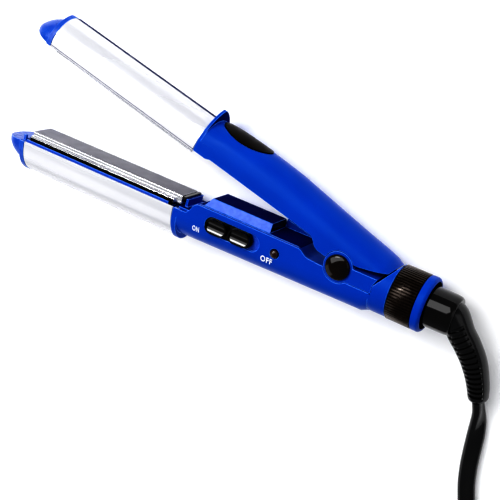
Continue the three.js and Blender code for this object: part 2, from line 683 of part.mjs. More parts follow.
const THUMB_PAD = { x: -72.5, halfLength: 14.5, halfWidth: 7 };

// Upright oval column over the thumb pad.
function padColumn(grow) {
  const shape = new THREE.Shape();
  shape.absellipse(THUMB_PAD.x, 0, THUMB_PAD.halfLength + grow, THUMB_PAD.halfWidth + grow, 0, Math.PI * 2);
  return slab(shape, 10, 40, 20).rotateX(-Math.PI / 2);
}

const padRecess = () => cut(padColumn(0), upperBody(1, -96, -50));

function thumbPad() {
  return cut(common(padColumn(-GAP), upperBody(0, -96, -50, 0.5)), upperBody(0.6, -97, -49));
}

function upperCover() {
  const half = HALF_WIDTH - WALL - GAP;
  const sheet = box(-84, -14, 10.6, 12.2, -half, half);
  const front = box(-84, -82.4, 11, 16, -4, 4);
  return cut(join(sheet, front), ...UPPER_SCREWS.map((x) => rodY(x, SCREW.shank + GAP, 8, 14)));
}

const upperScrew = (x) => join(rodY(x, SCREW.head, 9.2, 10.3), rodY(x, SCREW.shank, 10, 19));

// ---- cord set: boot, visible run, stored coil with its tie, tail and plug, on the table ----
const BOOT_PATH = [[51.5, 0, 0], [54.6, -0.3, 0], [57.4, -2.8, 0], [60.3, -6.8, -0.4], [63.8, -11.3, -1.2],
  [68.2, -17.8, -2.8], [73.2, -28, -5.5], [75.6, -35.4, -7.3]];
const BOOT_RADII = [[0, 7.6], [0.15, 7.2], [0.3, 6.5], [0.55, 5.7], [0.75, 5.4], [1, 4.9]];

// Bend relief behind the swivel, tapering to the cord, with a flat face at the swivel's end.
const cordBoot = () => cut(taperedTube(BOOT_PATH, (t) => valueAt(BOOT_RADII, t), 18, 14),
  box(40, SWIVEL_END + GAP, -20, 20, -20, 20));

const CORD_ROUTE = [
  [75.8, -40.1, 5.9], [77.6, -45.6, 4.9], [79, -51.5, 3.9], [79.9, -58.5, 3.1], [80.6, -66, 2.6],
  [81.7, -75, 2.4], [83.6, -84, 2.4], [86.2, -92, 2.4], [89.2, -101, 2.4], [92, -111, 2.4],
  [94.3, -122, 2.7], [96, -134, 3.4], [97.2, -147, 4.3], [97.9, -159, 5.1], [98.1, -166, 5.4],
  [98.3, -180, 5.5],
];
const TAIL_ROUTE = [[34, -247.4, 13.2], [27, -247.4, 11.8], [20, -247.4, 10.2], [14.5, -247.4, 8.1],
  [8.5, -247.4, 6.6], [4.6, -247.4, 6.4]];

// Flat cord along a route, outside the coil.
function flatCord(route, steps, insideCoil) {
  return cut(tube(route, CORD_THICKNESS / 2, CORD_WIDTH / 2, steps, 10), insideCoil);
}

function cordCoil() {
  const { x, y, inner, outer, bottom, top } = COIL;
  return turnedUp(x, y, [[inner, bottom], [outer, bottom], [outer, top], [inner, top], [inner, bottom]], 48);
}

// Strap round the coil, on the side away from the tool.
function coilTie() {
  const x0 = COIL.x - COIL.outer;
  const x1 = COIL.x - COIL.inner;
  const loop = (grow) => [x0 - grow, x1 + grow];
  const outside = box(...loop(1.2), COIL.y - 4, COIL.y + 4, 0.1, COIL.top + 1.1);
  const inside = box(...loop(0.5), COIL.y - 6, COIL.y + 6, COIL.bottom - GAP, COIL.top + GAP);
  return cut(outside, inside);
}

const PLUG = { x: 4.1, y: -247.4, height: 12.6 };

function plugBody() {
  const { x, y } = PLUG;
  const half = [
    [x, y + 4.6], [x - 9, y + 5.4], [x - 13, y + 8.6], [x - 17, y + 11], [x - 29, y + 11], [x - 31, y + 9],
  ];
  const mirrored = half.map(([px, py]) => [px, 2 * y - py]).reverse();
  return slab(polygon([...half, ...mirrored]), 0.2, PLUG.height);
}

function plugBlade(offset, halfHeight) {
  const x1 = PLUG.x - 31.3;
  const y = PLUG.y + offset;
  const middle = (0.2 + PLUG.height) / 2;
  return box(x1 - 16, x1, y - 0.75, y + 0.75, middle - halfHeight, middle + halfHeight);
}

// ---- assembly ----
const styler = new THREE.Group();

const lowerArm = new THREE.Group();
lowerArm.position.set(0, -HINGE_Y, REST_HEIGHT);
styler.add(lowerArm);

heatedHalf(lowerArm, 'lower', LOWER_RIM, LOWER_DEPTH, PLATE_FACE, -1);
place(lowerArm, 'plate_stop', plateStop(), BLACK);
place(lowerArm, 'lower_housing', lowerHousing(), BLUE);
place(lowerArm, 'lower_cover', lowerCover(), BLUE);
place(lowerArm, 'hinge_pin', rodUp(0, HINGE_Y, PIN_RADIUS, -11.8, 11.8), SPRING_STEEL);
place(lowerArm, 'hinge_cap_near', nearCap(), BLACK);
place(lowerArm, 'hinge_cap_far', farCap(), BLACK);
place(lowerArm, 'opening_spring', openingSpring(), SPRING_STEEL);
place(lowerArm, 'switch_slider', slider(), BLACK);
place(lowerArm, 'switch_body', switchBody(), BLACK);
place(lowerArm, 'indicator_lens', indicatorLens(), LENS_RED);
place(lowerArm, 'indicator_lamp', indicatorLamp(), LAMP_GLASS);
place(lowerArm, 'indicator_board', box(-42, -22, -8, 2.2, 2.2, 3.6), BOARD_GREEN);
place(lowerArm, 'thermal_fuse', thermalFuse(), CERAMIC);
place(lowerArm, 'supply_leads', leadPair(SUPPLY_PATH, 5, 2), LEAD_WHITE);
place(lowerArm, 'lower_heater_leads', leadPair(LOWER_HEATER_PATH, 5.5, 1), LEAD_WHITE);
place(lowerArm, 'lower_front_screw', coverScrew(LOWER_SCREWS[0]), SPRING_STEEL);
place(lowerArm, 'lower_rear_screw', coverScrew(LOWER_SCREWS[1]), SPRING_STEEL);
place(lowerArm, 'lock_ring', lockRing(), BLACK);
place(lowerArm, 'rear_ring', rearRing(), BLUE);
place(lowerArm, 'swivel_body', swivelBody(), BLACK);
place(lowerArm, 'cord_boot', cordBoot(), RUBBER);

const upperHinge = new THREE.Group();
upperHinge.position.set(0, 0, REST_HEIGHT);
upperHinge.rotation.z = -OPEN_ANGLE;
styler.add(upperHinge);
const upperArm = new THREE.Group();
upperArm.position.set(0, -HINGE_Y, 0);
upperHinge.add(upperArm);

heatedHalf(upperArm, 'upper', UPPER_RIM, UPPER_DEPTH, PLATE_FACE + GAP, 1);
place(upperArm, 'upper_housing', upperHousing(), BLUE);
place(upperArm, 'upper_cover', upperCover(), BLUE);
place(upperArm, 'thumb_pad', thumbPad(), RUBBER);
place(upperArm, 'upper_front_screw', upperScrew(UPPER_SCREWS[0]), SPRING_STEEL);
place(upperArm, 'upper_rear_screw', upperScrew(UPPER_SCREWS[1]), SPRING_STEEL);
place(upperArm, 'upper_heater_leads', leadPair(UPPER_HEATER_PATH, 6, 1), LEAD_WHITE);

place(styler, 'cord_run', flatCord(CORD_ROUTE, 20, box(85, 115, -190, -167, -5, 20)), RUBBER);
place(styler, 'cord_coil', cordCoil(), RUBBER);
place(styler, 'coil_tie', coilTie(), BLACK);
place(styler, 'cord_tail', flatCord(TAIL_ROUTE, 8, box(21, 40, -260, -235, 0, 30)), RUBBER);
place(styler, 'plug_body', plugBody(), RUBBER);
place(styler, 'plug_blade_narrow', plugBlade(6.35, 3.2), BRASS);
place(styler, 'plug_blade_wide', plugBlade(-6.35, 3.95), BRASS);

export default styler;
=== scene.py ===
import math

import bmesh
import bpy
from mathutils import Matrix, Vector


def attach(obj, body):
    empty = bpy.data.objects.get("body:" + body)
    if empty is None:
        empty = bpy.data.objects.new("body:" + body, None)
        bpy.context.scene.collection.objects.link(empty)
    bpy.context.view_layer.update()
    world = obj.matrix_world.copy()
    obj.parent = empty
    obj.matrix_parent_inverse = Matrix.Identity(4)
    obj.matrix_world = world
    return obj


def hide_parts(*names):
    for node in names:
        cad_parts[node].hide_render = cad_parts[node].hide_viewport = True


# A two-jaw hair styler lying on its side on a white floor. The pieces are drawn in millimetres in the
# tool's own frame: X along the handle towards the cord, Y the way the jaws open, Z across the handle.
# The upper arm is drawn closed and its place turns it open. The cord is drawn in the floor's own frame.

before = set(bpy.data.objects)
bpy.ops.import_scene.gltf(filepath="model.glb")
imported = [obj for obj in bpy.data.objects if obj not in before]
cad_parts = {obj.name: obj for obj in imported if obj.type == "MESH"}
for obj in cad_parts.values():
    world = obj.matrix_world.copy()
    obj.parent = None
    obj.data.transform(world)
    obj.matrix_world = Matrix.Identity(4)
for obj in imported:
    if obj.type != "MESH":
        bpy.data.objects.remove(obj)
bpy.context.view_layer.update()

MM = 0.001
GAP = 0.3
HALF_WIDTH = 12.3
WALL = 1.8
REST_HEIGHT = 13.4
HINGE_Y = 4.1
OPEN_ANGLE = math.radians(13.7)
WELD = 1e-4
ON_AXIS = 1e-6

BARREL_FRONT = -187.5
BARREL_REAR = -91
BARREL_SKIN = 1
BARREL_STRAIGHT = 2
# painted shade on the upper barrel: a dark strip across its back (z range) and dark lines above its rim
# (heights)
PAINTED_SHADE_BACK_STRIP = (-6.6, -0.3)
PAINTED_SHADE_RIM_LINES = (0.25, 0.85, 1.2)
LOWER_RIM, LOWER_DEPTH = -1.4, 17.5
UPPER_RIM, UPPER_DEPTH = 7.7, 15.8
PLATE_FACE = 4.1
PLATE_HALF = 7.1
PLATE_FOOT_HALF = 9.1
PLATE_REAR = -89.8

HANDLE_FRONT = -88.5
SEAM_Y = 4.9
EAR_RADIUS = 7.4
EAR_INNER = 9.3
CAP_RADIUS = 6.1
COLLAR_X, COLLAR_LENGTH, COLLAR_RADIUS, COLLAR_RIBS = 26.4, 12.2, 13.3, 60
SPIGOT_RADIUS = 10.8
RING_X = COLLAR_X + COLLAR_LENGTH + GAP
SWIVEL_RADIUS = 9.8
SWIVEL_END = 56
SLOT_X, SLOT_Y, SLOT_LENGTH, SLOT_WIDTH, SLOT_FLOOR = -56.2, -2.3, 31, 8.6, 10.3
LENS_X, LENS_Y, LENS_RADIUS = -32.1, -2.6, 2.2
SLIDE_TRAVEL = 3.7
PAD_OFFSET = 6.6

CORD_WIDTH = 8.4
CORD_THICKNESS = 4.2

TO_METRES = Matrix.Scale(MM, 4)
LOWER_PLACE = TO_METRES @ Matrix.Translation((0, -HINGE_Y, REST_HEIGHT))
UPPER_PLACE = (
    TO_METRES
    @ Matrix.Translation((0, 0, REST_HEIGHT))
    @ Matrix.Rotation(-OPEN_ANGLE, 4, "Z")
    @ Matrix.Translation((0, -HINGE_Y, 0))
)
# where a piece is placed, and the body it rides on
LOWER_ARM = (LOWER_PLACE, "lower_arm")
UPPER_ARM = (UPPER_PLACE, "upper_arm")
SWITCH = (LOWER_PLACE, "switch_slider")
RING = (LOWER_PLACE, "lock_ring")
SWIVEL = (LOWER_PLACE, "cord_set")
FLOOR_CORD = (TO_METRES, "cord_set")


def linked(name, data):
    """New object in the scene."""
    item = bpy.data.objects.new(name, data)
    bpy.context.collection.objects.link(item)
    return item


# ---- camera, floor and light ----
def make_camera():
    """Camera fitted to the photograph: it looks at the target from an azimuth and elevation, rolled."""
    azimuth, elevation, roll, distance = 0.738, 1.011, 4.310, 0.5013
    target = Vector((-0.05037, -0.01502, 0.0134))
    level_part = math.cos(elevation)
    back = Vector((level_part * math.cos(azimuth), level_part * math.sin(azimuth), math.sin(elevation)))
    level = Vector((0, 0, 1)).cross(back).normalized()
    rise = back.cross(level)
    right = math.cos(roll) * level + math.sin(roll) * rise
    up = math.cos(roll) * rise - math.sin(roll) * level
    data = bpy.data.cameras.new("camera")
    data.angle = math.radians(27.385)
    data.clip_start, data.clip_end = 0.01, 20
    camera = linked("camera", data)
    turn = Matrix((right, up, back)).transposed().to_4x4()
    camera.matrix_world = Matrix.Translation(target + back * distance) @ turn
    bpy.context.scene.camera = camera


def area_light(name, place, aim, size, power):
    data = bpy.data.lights.new(name, "AREA")
    data.shape = "RECTANGLE"
    data.size, data.size_y = size
    data.energy = power
    light = linked(name, data)
    light.location = place
    light.rotation_mode = "QUATERNION"
    light.rotation_quaternion = (aim - place).to_track_quat("-Z", "Y")


def make_world():
    world = bpy.data.worlds.new("studio")
    world.use_nodes = True
    light = world.node_tree.nodes["Background"].inputs
    light["Color"].default_value = (0.93, 0.95, 1, 1)
    light["Strength"].default_value = 0.27
    scene = bpy.context.scene
    scene.world = world
    scene.view_settings.view_transform = "Standard"
    scene.view_settings.look = "Very High Contrast"


# ---- drawing helpers ----
def arc(cx, cy, radius, start, end, count):
    angles = [start + (end - start) * i / count for i in range(count + 1)]
    return [(cx + radius * math.cos(a), cy + radius * math.sin(a)) for a in angles]


def bezier(p0, p1, p2, p3, count):
    points = []
    for i in range(1, count + 1):
        t = i / count
        weights = ((1 - t) ** 3, 3 * t * (1 - t) ** 2, 3 * t * t * (1 - t), t**3)
        points.append(tuple(sum(w * p[k] for w, p in zip(weights, (p0, p1, p2, p3))) for k in (0, 1)))
    return points


def value_at(points, x):
    if x <= points[0][0]:
        return points[0][1]
    for (x0, v0), (x1, v1) in zip(points, points[1:]):
        if x <= x1:
            return v0 + (v1 - v0) * (x - x0) / (x1 - x0)
    return points[-1][1]


def smooth_value(points, x):
    """Value at x on a smooth curve through [x, value] points."""
    xs = [p[0] for p in points]
    if x <= xs[0] or x >= xs[-1]:
        return value_at(points, x)
    i = next(k for k in range(1, len(xs)) if x <= xs[k])
    before, p1, p2, after = points[max(i - 2, 0)], points[i - 1], points[i], points[min(i + 1, len(xs) - 1)]
    span = p2[0] - p1[0]
    t = (x - p1[0]) / span
    slope1 = (p2[1] - before[1]) / (p2[0] - before[0]) * span
    slope2 = (after[1] - p1[1]) / (after[0] - p1[0]) * span
    start, end = (2 * t**3 - 3 * t**2 + 1) * p1[1], (3 * t**2 - 2 * t**3) * p2[1]
    return start + (t**3 - 2 * t**2 + t) * slope1 + end + (t**3 - t**2) * slope2


def half_section(half_width, rim, depth, straight, side, count):
    """Closed (y, z) outline of half a barrel or handle: open edge at rim, straight sides, elliptic back."""
    turn = rim + side * straight
    points = [(rim, half_width)]
    for i in range(count + 1):
        a = math.pi * i / count
        points.append((turn + side * (depth - straight) * math.sin(a), half_width * math.cos(a)))
    points.append((rim, -half_width))
    return points


def narrowed(outline, half_width, power):
    """The outline drawn in towards its back, to a blunt point."""
    return [(y, math.copysign(half_width * (abs(z) / half_width) ** power, z)) for y, z in outline]


def loft(rings):
    """Closed body through rings of points, in order along X; each ring is (x, [(y, z), ...])."""
    shape = bmesh.new()
    return skinned(shape, [[shape.verts.new((x, y, z)) for y, z in outline] for x, outline in rings])


def skinned(shape, rings):
    """Faces between neighbouring rings, and one across each end."""
    for ring_a, ring_b in zip(rings, rings[1:]):
        for k in range(len(ring_a)):
            n = (k + 1) % len(ring_a)
            shape.faces.new((ring_a[k], ring_a[n], ring_b[n], ring_b[k]))
    shape.faces.new(rings[0])
    shape.faces.new(rings[-1][::-1])
    return done(shape)


def done(shape):
    bmesh.ops.remove_doubles(shape, verts=shape.verts, dist=WELD)
    bmesh.ops.recalc_face_normals(shape, faces=shape.faces)
    mesh = bpy.data.meshes.new("shape")
    shape.to_mesh(mesh)
    shape.free()
    return mesh


def prism(outline, z0, z1):
    shape = bmesh.new()
    low = [shape.verts.new((x, y, z0)) for x, y in outline]
    high = [shape.verts.new((x, y, z1)) for x, y in outline]
    shape.faces.new(low)
    shape.faces.new(high[::-1])
    for k in range(len(outline)):
        n = (k + 1) % len(outline)
        shape.faces.new((low[k], low[n], high[n], high[k]))
    return done(shape)


def block(x0, x1, y0, y1, z0, z1):
    return prism([(x0, y0), (x1, y0), (x1, y1), (x0, y1)], z0, z1)


def turned(profile, segments, ridge=None):
    """Body turned about X from [x, radius] points; ridge(angle, x, radius) may change the radius."""
    shape = bmesh.new()
    rings = []
    for x, radius in profile:
        if radius < ON_AXIS:
            rings.append([shape.verts.new((x, 0, 0))])
            continue
        ring = []
        for k in range(segments):
            angle = 2 * math.pi * k / segments
            r = ridge(angle, x, radius) if ridge else radius
            ring.append(shape.verts.new((x, r * math.cos(angle), r * math.sin(angle))))
        rings.append(ring)
    closed = profile[0][1] > ON_AXIS
    pairs = list(zip(rings, rings[1:])) + ([(rings[-1], rings[0])] if closed else [])
    for ring_a, ring_b in pairs:
        for k in range(segments):
            n = (k + 1) % segments
            a, b = len(ring_a), len(ring_b)
            corners = [ring_a[k % a], ring_a[n % a], ring_b[n % b], ring_b[k % b]]
            shape.faces.new(list(dict.fromkeys(corners)))
    return done(shape)


def turned_up(cx, cy, profile, segments):
    """Body turned about the Z axis through (cx, cy) from [radius, z] points."""
    mesh = turned([(z, r) for r, z in profile], segments)
    x_to_z = Matrix(((0, 1, 0, 0), (0, 0, 1, 0), (1, 0, 0, 0), (0, 0, 0, 1)))
    mesh.transform(Matrix.Translation((cx, cy, 0)) @ x_to_z)
    return mesh


def combine(base, tools, operation):
    """The base mesh joined with, cut by or kept inside each tool mesh."""
    body = linked("base", base)
    helpers = [linked("tool", tool) for tool in tools]
    for helper in helpers:
        step = body.modifiers.new("step", "BOOLEAN")
        step.operation, step.solver, step.object = operation, "EXACT", helper
    result = bpy.data.meshes.new_from_object(body.evaluated_get(bpy.context.evaluated_depsgraph_get()))
    for item in [body, *helpers]:
        bpy.data.objects.remove(item)
    return result


def cut(base, *tools):
    return combine(base, tools, "DIFFERENCE")


def join(base, *others):
    return combine(base, others, "UNION")


def common(base, other):
    return combine(base, [other], "INTERSECT")


def tidy_edges(mesh, sliver):
    """Flat regions made into single faces and slivers closed up, so that bevels keep their width."""
    flat = math.radians(0.6)
    shape = bmesh.new()
    shape.from_mesh(mesh)
    bmesh.ops.remove_doubles(shape, verts=shape.verts, dist=sliver)
    bmesh.ops.dissolve_limit(shape, angle_limit=flat, verts=shape.verts, edges=shape.edges,
                             delimit={"MATERIAL"})
    bmesh.ops.dissolve_degenerate(shape, dist=sliver, edges=shape.edges)
    shape.to_mesh(mesh)
    shape.free()


def piece(name, mesh, seat, looks, stands_for=(), bevel=0.25, segments=3, angle=32, painted_highlight_look=-1,
          clamp=True):
    """A finished piece: placed, softened at its edges and riding on its body.

    painted_highlight_look is the index of the look painted on the bevels as a highlight. With clamp off,
    bevels keep their width beside slivers.
    """
    place, body = seat
    mesh.name = name
    if bevel:
        tidy_edges(mesh, 0.03 if clamp else 0.12)
    mesh.transform(place)
    for look in [looks] if isinstance(looks, str) else looks:
        mesh.materials.append(LOOKS[look])
    mesh.shade_smooth()
    item = linked(name, mesh)
    if bevel:
        edge = item.modifiers.new("edges", "BEVEL")
        edge.width = bevel * MM
        edge.segments = segments
        edge.limit_method = "ANGLE"
        edge.angle_limit = math.radians(angle)
        edge.use_clamp_overlap = clamp
        # painted highlight on the bevels
        edge.material = painted_highlight_look
        item.modifiers.new("normals", "WEIGHTED_NORMAL").weight = 80
    else:
        mesh.set_sharp_from_angle(angle=math.radians(angle))
    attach(item, body)
    if stands_for:
        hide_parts(*stands_for)
    return item


# ---- materials ----
class Look:
    """Node material with small helpers for layered procedural detail in object coordinates."""

    def __init__(self, name, color, roughness, metallic=0.0, specular=0.5):
        self.material = bpy.data.materials.new(name)
        self.material.use_nodes = True
        self.tree = self.material.node_tree
        self.shader = self.tree.nodes["Principled BSDF"]
        self.set({"Base Color": (*color, 1), "Roughness": roughness, "Metallic": metallic,
                  "Specular IOR Level": specular})
        self.color = color
        self.coords = self.tree.nodes.new("ShaderNodeTexCoord").outputs["Object"]
        self.height = None

    def set(self, values):
        for key, value in values.items():
            self.shader.inputs[key].default_value = value
        return self

    def node(self, kind, links=(), **settings):
        item = self.tree.nodes.new(kind)
        for key, value in settings.items():
            setattr(item, key, value)
        for key, value in dict(links).items():
            if isinstance(value, bpy.types.NodeSocket):
                self.tree.links.new(value, item.inputs[key])
            else:
                item.inputs[key].default_value = value
        return item

    def noise(self, scale, detail=4.0, stretch=(1, 1, 1)):
        mapped = self.node("ShaderNodeMapping", {"Vector": self.coords, "Scale": stretch}).outputs["Vector"]
        links = {"Vector": mapped, "Scale": scale, "Detail": detail}
        return self.node("ShaderNodeTexNoise", links).outputs["Fac"]

    def ranged(self, value, low, high, to_low, to_high):
        links = {"Value": value, "From Min": low, "From Max": high, "To Min": to_low, "To Max": to_high}
        return self.node("ShaderNodeMapRange", links).outputs["Result"]

    def paint(self, factor, under, over):
        links = {"Factor": factor, "A": under, "B": (*over, 1)}
        self.painted = self.node("ShaderNodeMix", links, data_type="RGBA").outputs["Result"]
        self.tree.links.new(self.painted, self.shader.inputs["Base Color"])
        return self

    def tint(self, scale, other, amount):
        """Slow drift of the base colour towards another colour."""
        factor = self.ranged(self.noise(scale), 0.35, 0.65, 0.0, amount)
        return self.paint(factor, (*self.color, 1), other)

    def edge_wear_and_highlight(self, color, amount):
        """Paler paint along the sharpest edges, over the tint: partly scuffed wear, partly painted
        highlight.
        """
        edge = self.ranged(self.node("ShaderNodeNewGeometry").outputs["Pointiness"], 0.53, 0.62, 0, 1)
        total = self.node("ShaderNodeMath", {0: edge, 1: self.noise(900, 3.0)}, operation="MULTIPLY")
        return self.paint(self.ranged(total.outputs["Value"], 0.2, 0.7, 0.0, amount), self.painted, color)

    def rough(self, scale, low, high, stretch=(1, 1, 1)):
        value = self.ranged(self.noise(scale, 5.0, stretch), 0.3, 0.7, low, high)
        self.tree.links.new(value, self.shader.inputs["Roughness"])
        return self

    def grain(self, scale, strength, stretch=(1, 1, 1)):
        """Fine bumps, added to those already there."""
        links = {"Height": self.noise(scale, 6.0, stretch), "Strength": strength, "Distance": 0.00005}
        bump = self.node("ShaderNodeBump", links)
        if self.height is not None:
            self.tree.links.new(self.height, bump.inputs["Normal"])
        self.height = bump.outputs["Normal"]
        self.tree.links.new(self.height, self.shader.inputs["Normal"])
        return self

    def highlight(self, color):
        """Colour of the highlight on a piece that isn't metal."""
        return self.set({"Specular Tint": (*color, 1)})

    def coat(self, weight, roughness):
        return self.set({"Coat Weight": weight, "Coat Roughness": roughness})


def plastic_looks():
    blue = Look("blue plastic", (0.0, 0.062, 0.43), 0.34, specular=0.14)
    blue.tint(35, (0.0, 0.052, 0.36), 0.5).edge_wear_and_highlight((0.08, 0.16, 0.7), 0.5)
    blue.rough(160, 0.28, 0.42).grain(2600, 0.1).grain(300, 0.04).highlight((0.35, 0.65, 1))

    # painted highlight: a lighter blue put on the bevels of the blue parts
    rim = Look("painted highlight blue edge", (0.05, 0.24, 0.9), 0.3, specular=0.5)
    rim.tint(500, (0.02, 0.14, 0.75), 0.7).rough(300, 0.2, 0.35).grain(2600, 0.06)

    # painted light: a lighter blue for the block's sloping sides, which face the light
    painted_light_slope = Look("painted light blue plastic", (0.085, 0.19, 0.7), 0.4, specular=0.3)
    painted_light_slope.tint(500, (0.05, 0.13, 0.58), 0.7).rough(300, 0.35, 0.5).grain(2600, 0.1)

    mottled = Look("mottled blue plastic", (0.0, 0.06, 0.42), 0.3, specular=0.3)
    mottled.tint(220, (0.03, 0.12, 0.53), 0.6).edge_wear_and_highlight((0.08, 0.2, 0.8), 0.6)
    mottled.rough(200, 0.22, 0.4).grain(1600, 0.2)

    # painted shade: a dark blue put on faces that lie in shade (upward faces of the inner cover, the tray
    # lip's top, the disc guard's rear face)
    painted_shade_navy = Look("navy plastic", (0.0, 0.008, 0.13), 0.6, specular=0.02)
    painted_shade_navy.tint(40, (0.0, 0.006, 0.1), 0.5).edge_wear_and_highlight((0.04, 0.08, 0.35), 0.4)
    painted_shade_navy.rough(160, 0.5, 0.7).grain(2600, 0.06)

    black = Look("black gloss plastic", (0.003, 0.0022, 0.002), 0.2, specular=0.25)
    black.tint(60, (0.007, 0.006, 0.005), 0.6).edge_wear_and_highlight((0.03, 0.028, 0.026), 0.4)
    black.rough(220, 0.05, 0.12).grain(2200, 0.02).coat(0.35, 0.03)

    cap = Look("cap plastic", (0.005, 0.0026, 0.0014), 0.1, specular=0.12)
    cap.tint(160, (0.012, 0.006, 0.003), 0.7).edge_wear_and_highlight((0.03, 0.02, 0.014), 0.4)
    cap.rough(220, 0.05, 0.12).grain(2200, 0.02).coat(0.5, 0.03)

    ribbed = Look("black ring plastic", (0.006, 0.0038, 0.0028), 0.3, specular=0.45)
    ribbed.tint(90, (0.014, 0.009, 0.006), 0.7).edge_wear_and_highlight((0.06, 0.045, 0.036), 0.5)
    ribbed.rough(260, 0.16, 0.26).grain(2400, 0.06).highlight((1, 0.85, 0.75))
    return dict(blue=blue, rim=rim, painted_light_slope=painted_light_slope, mottled=mottled, painted_shade_navy=painted_shade_navy, black=black, cap=cap,
                ribbed=ribbed)


def rubber_looks():
    rubber = Look("black rubber", (0.003, 0.0028, 0.0028), 0.34, specular=0.4)
    rubber.tint(45, (0.007, 0.0065, 0.006), 0.6).edge_wear_and_highlight((0.02, 0.019, 0.018), 0.4)
    rubber.rough(200, 0.24, 0.42).grain(3200, 0.16).grain(500, 0.08)

    pad = Look("thumb pad rubber", (0.004, 0.002, 0.0012), 0.4, specular=0.12)
    pad.tint(70, (0.008, 0.004, 0.0024), 0.6).edge_wear_and_highlight((0.03, 0.022, 0.018), 0.4)
    pad.rough(240, 0.34, 0.5).grain(3000, 0.14).grain(420, 0.08)

    boot = Look("boot rubber", (0.003, 0.0027, 0.0027), 0.2, specular=0.55)
    boot.tint(45, (0.006, 0.0055, 0.005), 0.6).edge_wear_and_highlight((0.02, 0.019, 0.018), 0.4)
    boot.rough(200, 0.12, 0.22).grain(2800, 0.06).grain(400, 0.05)
    return dict(rubber=rubber, pad=pad, boot=boot)


def metal_looks():
    barrel = Look("barrel metal", (0.68, 0.68, 0.7), 0.32, metallic=0.25)
    barrel.tint(30, (0.63, 0.63, 0.66), 0.5).edge_wear_and_highlight((0.8, 0.8, 0.82), 0.1)
    barrel.rough(120, 0.2, 0.32, stretch=(0.05, 1, 1)).grain(1500, 0.05, stretch=(0.03, 1, 1))

    # painted shade: the dark colour of the upper barrel's back strip and rim lines
    strip = Look("painted shade strip", (0.003, 0.005, 0.06), 0.6, specular=0.02)
    strip.tint(60, (0.006, 0.009, 0.09), 0.5).rough(200, 0.5, 0.7).grain(1500, 0.03)

    plate = Look("plate face", (0.18, 0.176, 0.206), 0.42, metallic=0.3)
    plate.tint(40, (0.155, 0.15, 0.175), 0.6).edge_wear_and_highlight((0.5, 0.5, 0.52), 0.5)
    plate.rough(150, 0.34, 0.5).grain(2600, 0.08)

    flank = Look("polished flank", (0.88, 0.88, 0.9), 0.16, metallic=1.0)
    flank.tint(50, (0.7, 0.7, 0.72), 0.5)
    flank.rough(140, 0.14, 0.24, stretch=(0.05, 1, 1)).grain(1800, 0.02, stretch=(0.02, 1, 1))

    steel = Look("plain steel", (0.55, 0.55, 0.57), 0.3, metallic=1.0)
    steel.tint(80, (0.4, 0.39, 0.38), 0.5).rough(200, 0.22, 0.4).grain(1800, 0.1)

    brass = Look("brass blade", (0.62, 0.45, 0.2), 0.26, metallic=1.0)
    brass.tint(90, (0.5, 0.34, 0.15), 0.6).rough(240, 0.18, 0.36).grain(2000, 0.1, stretch=(0.1, 1, 1))
    return dict(barrel=barrel, strip=strip, plate=plate, flank=flank, steel=steel, brass=brass)


def other_looks():
    ceramic = Look("ceramic", (0.84, 0.8, 0.7), 0.7)
    ceramic.tint(60, (0.76, 0.72, 0.62), 0.6).rough(200, 0.6, 0.8).grain(1500, 0.25)

    lens = Look("lamp lens", (0.016, 0.003, 0.002), 0.08, specular=0.4)
    lens.tint(140, (0.04, 0.006, 0.004), 0.6).rough(300, 0.06, 0.16).grain(1200, 0.04)
    lens.coat(0.4, 0.03).set({"Transmission Weight": 0.25})

    lamp = Look("lamp glass", (0.85, 0.78, 0.72), 0.08)
    lamp.tint(80, (0.8, 0.7, 0.62), 0.5).rough(200, 0.05, 0.14).grain(900, 0.04)

    board = Look("circuit board", (0.03, 0.15, 0.05), 0.45)
    board.tint(70, (0.02, 0.1, 0.035), 0.6).rough(180, 0.38, 0.55).grain(1400, 0.12)

    sleeve = Look("wire sleeve", (0.74, 0.7, 0.62), 0.6)
    sleeve.tint(90, (0.66, 0.62, 0.54), 0.6).rough(240, 0.5, 0.7).grain(2600, 0.2)

    ink = Look("white ink", (0.9, 0.91, 0.95), 0.4)
    ink.tint(300, (0.78, 0.8, 0.88), 0.4).rough(500, 0.35, 0.5).grain(3000, 0.06)

    floor = Look("floor", (0.93, 0.93, 0.93), 0.7)
    floor.tint(3, (0.91, 0.91, 0.92), 0.4).rough(8, 0.55, 0.65).grain(120, 0.03)
    floor.set({"Emission Color": (1, 1, 1, 1), "Emission Strength": 0.1})
    return dict(ceramic=ceramic, lens=lens, lamp=lamp, board=board, sleeve=sleeve, ink=ink, floor=floor)


LOOKS = {
    name: look.material
    for group in (plastic_looks, rubber_looks, metal_looks, other_looks)
    for name, look in group().items()
}


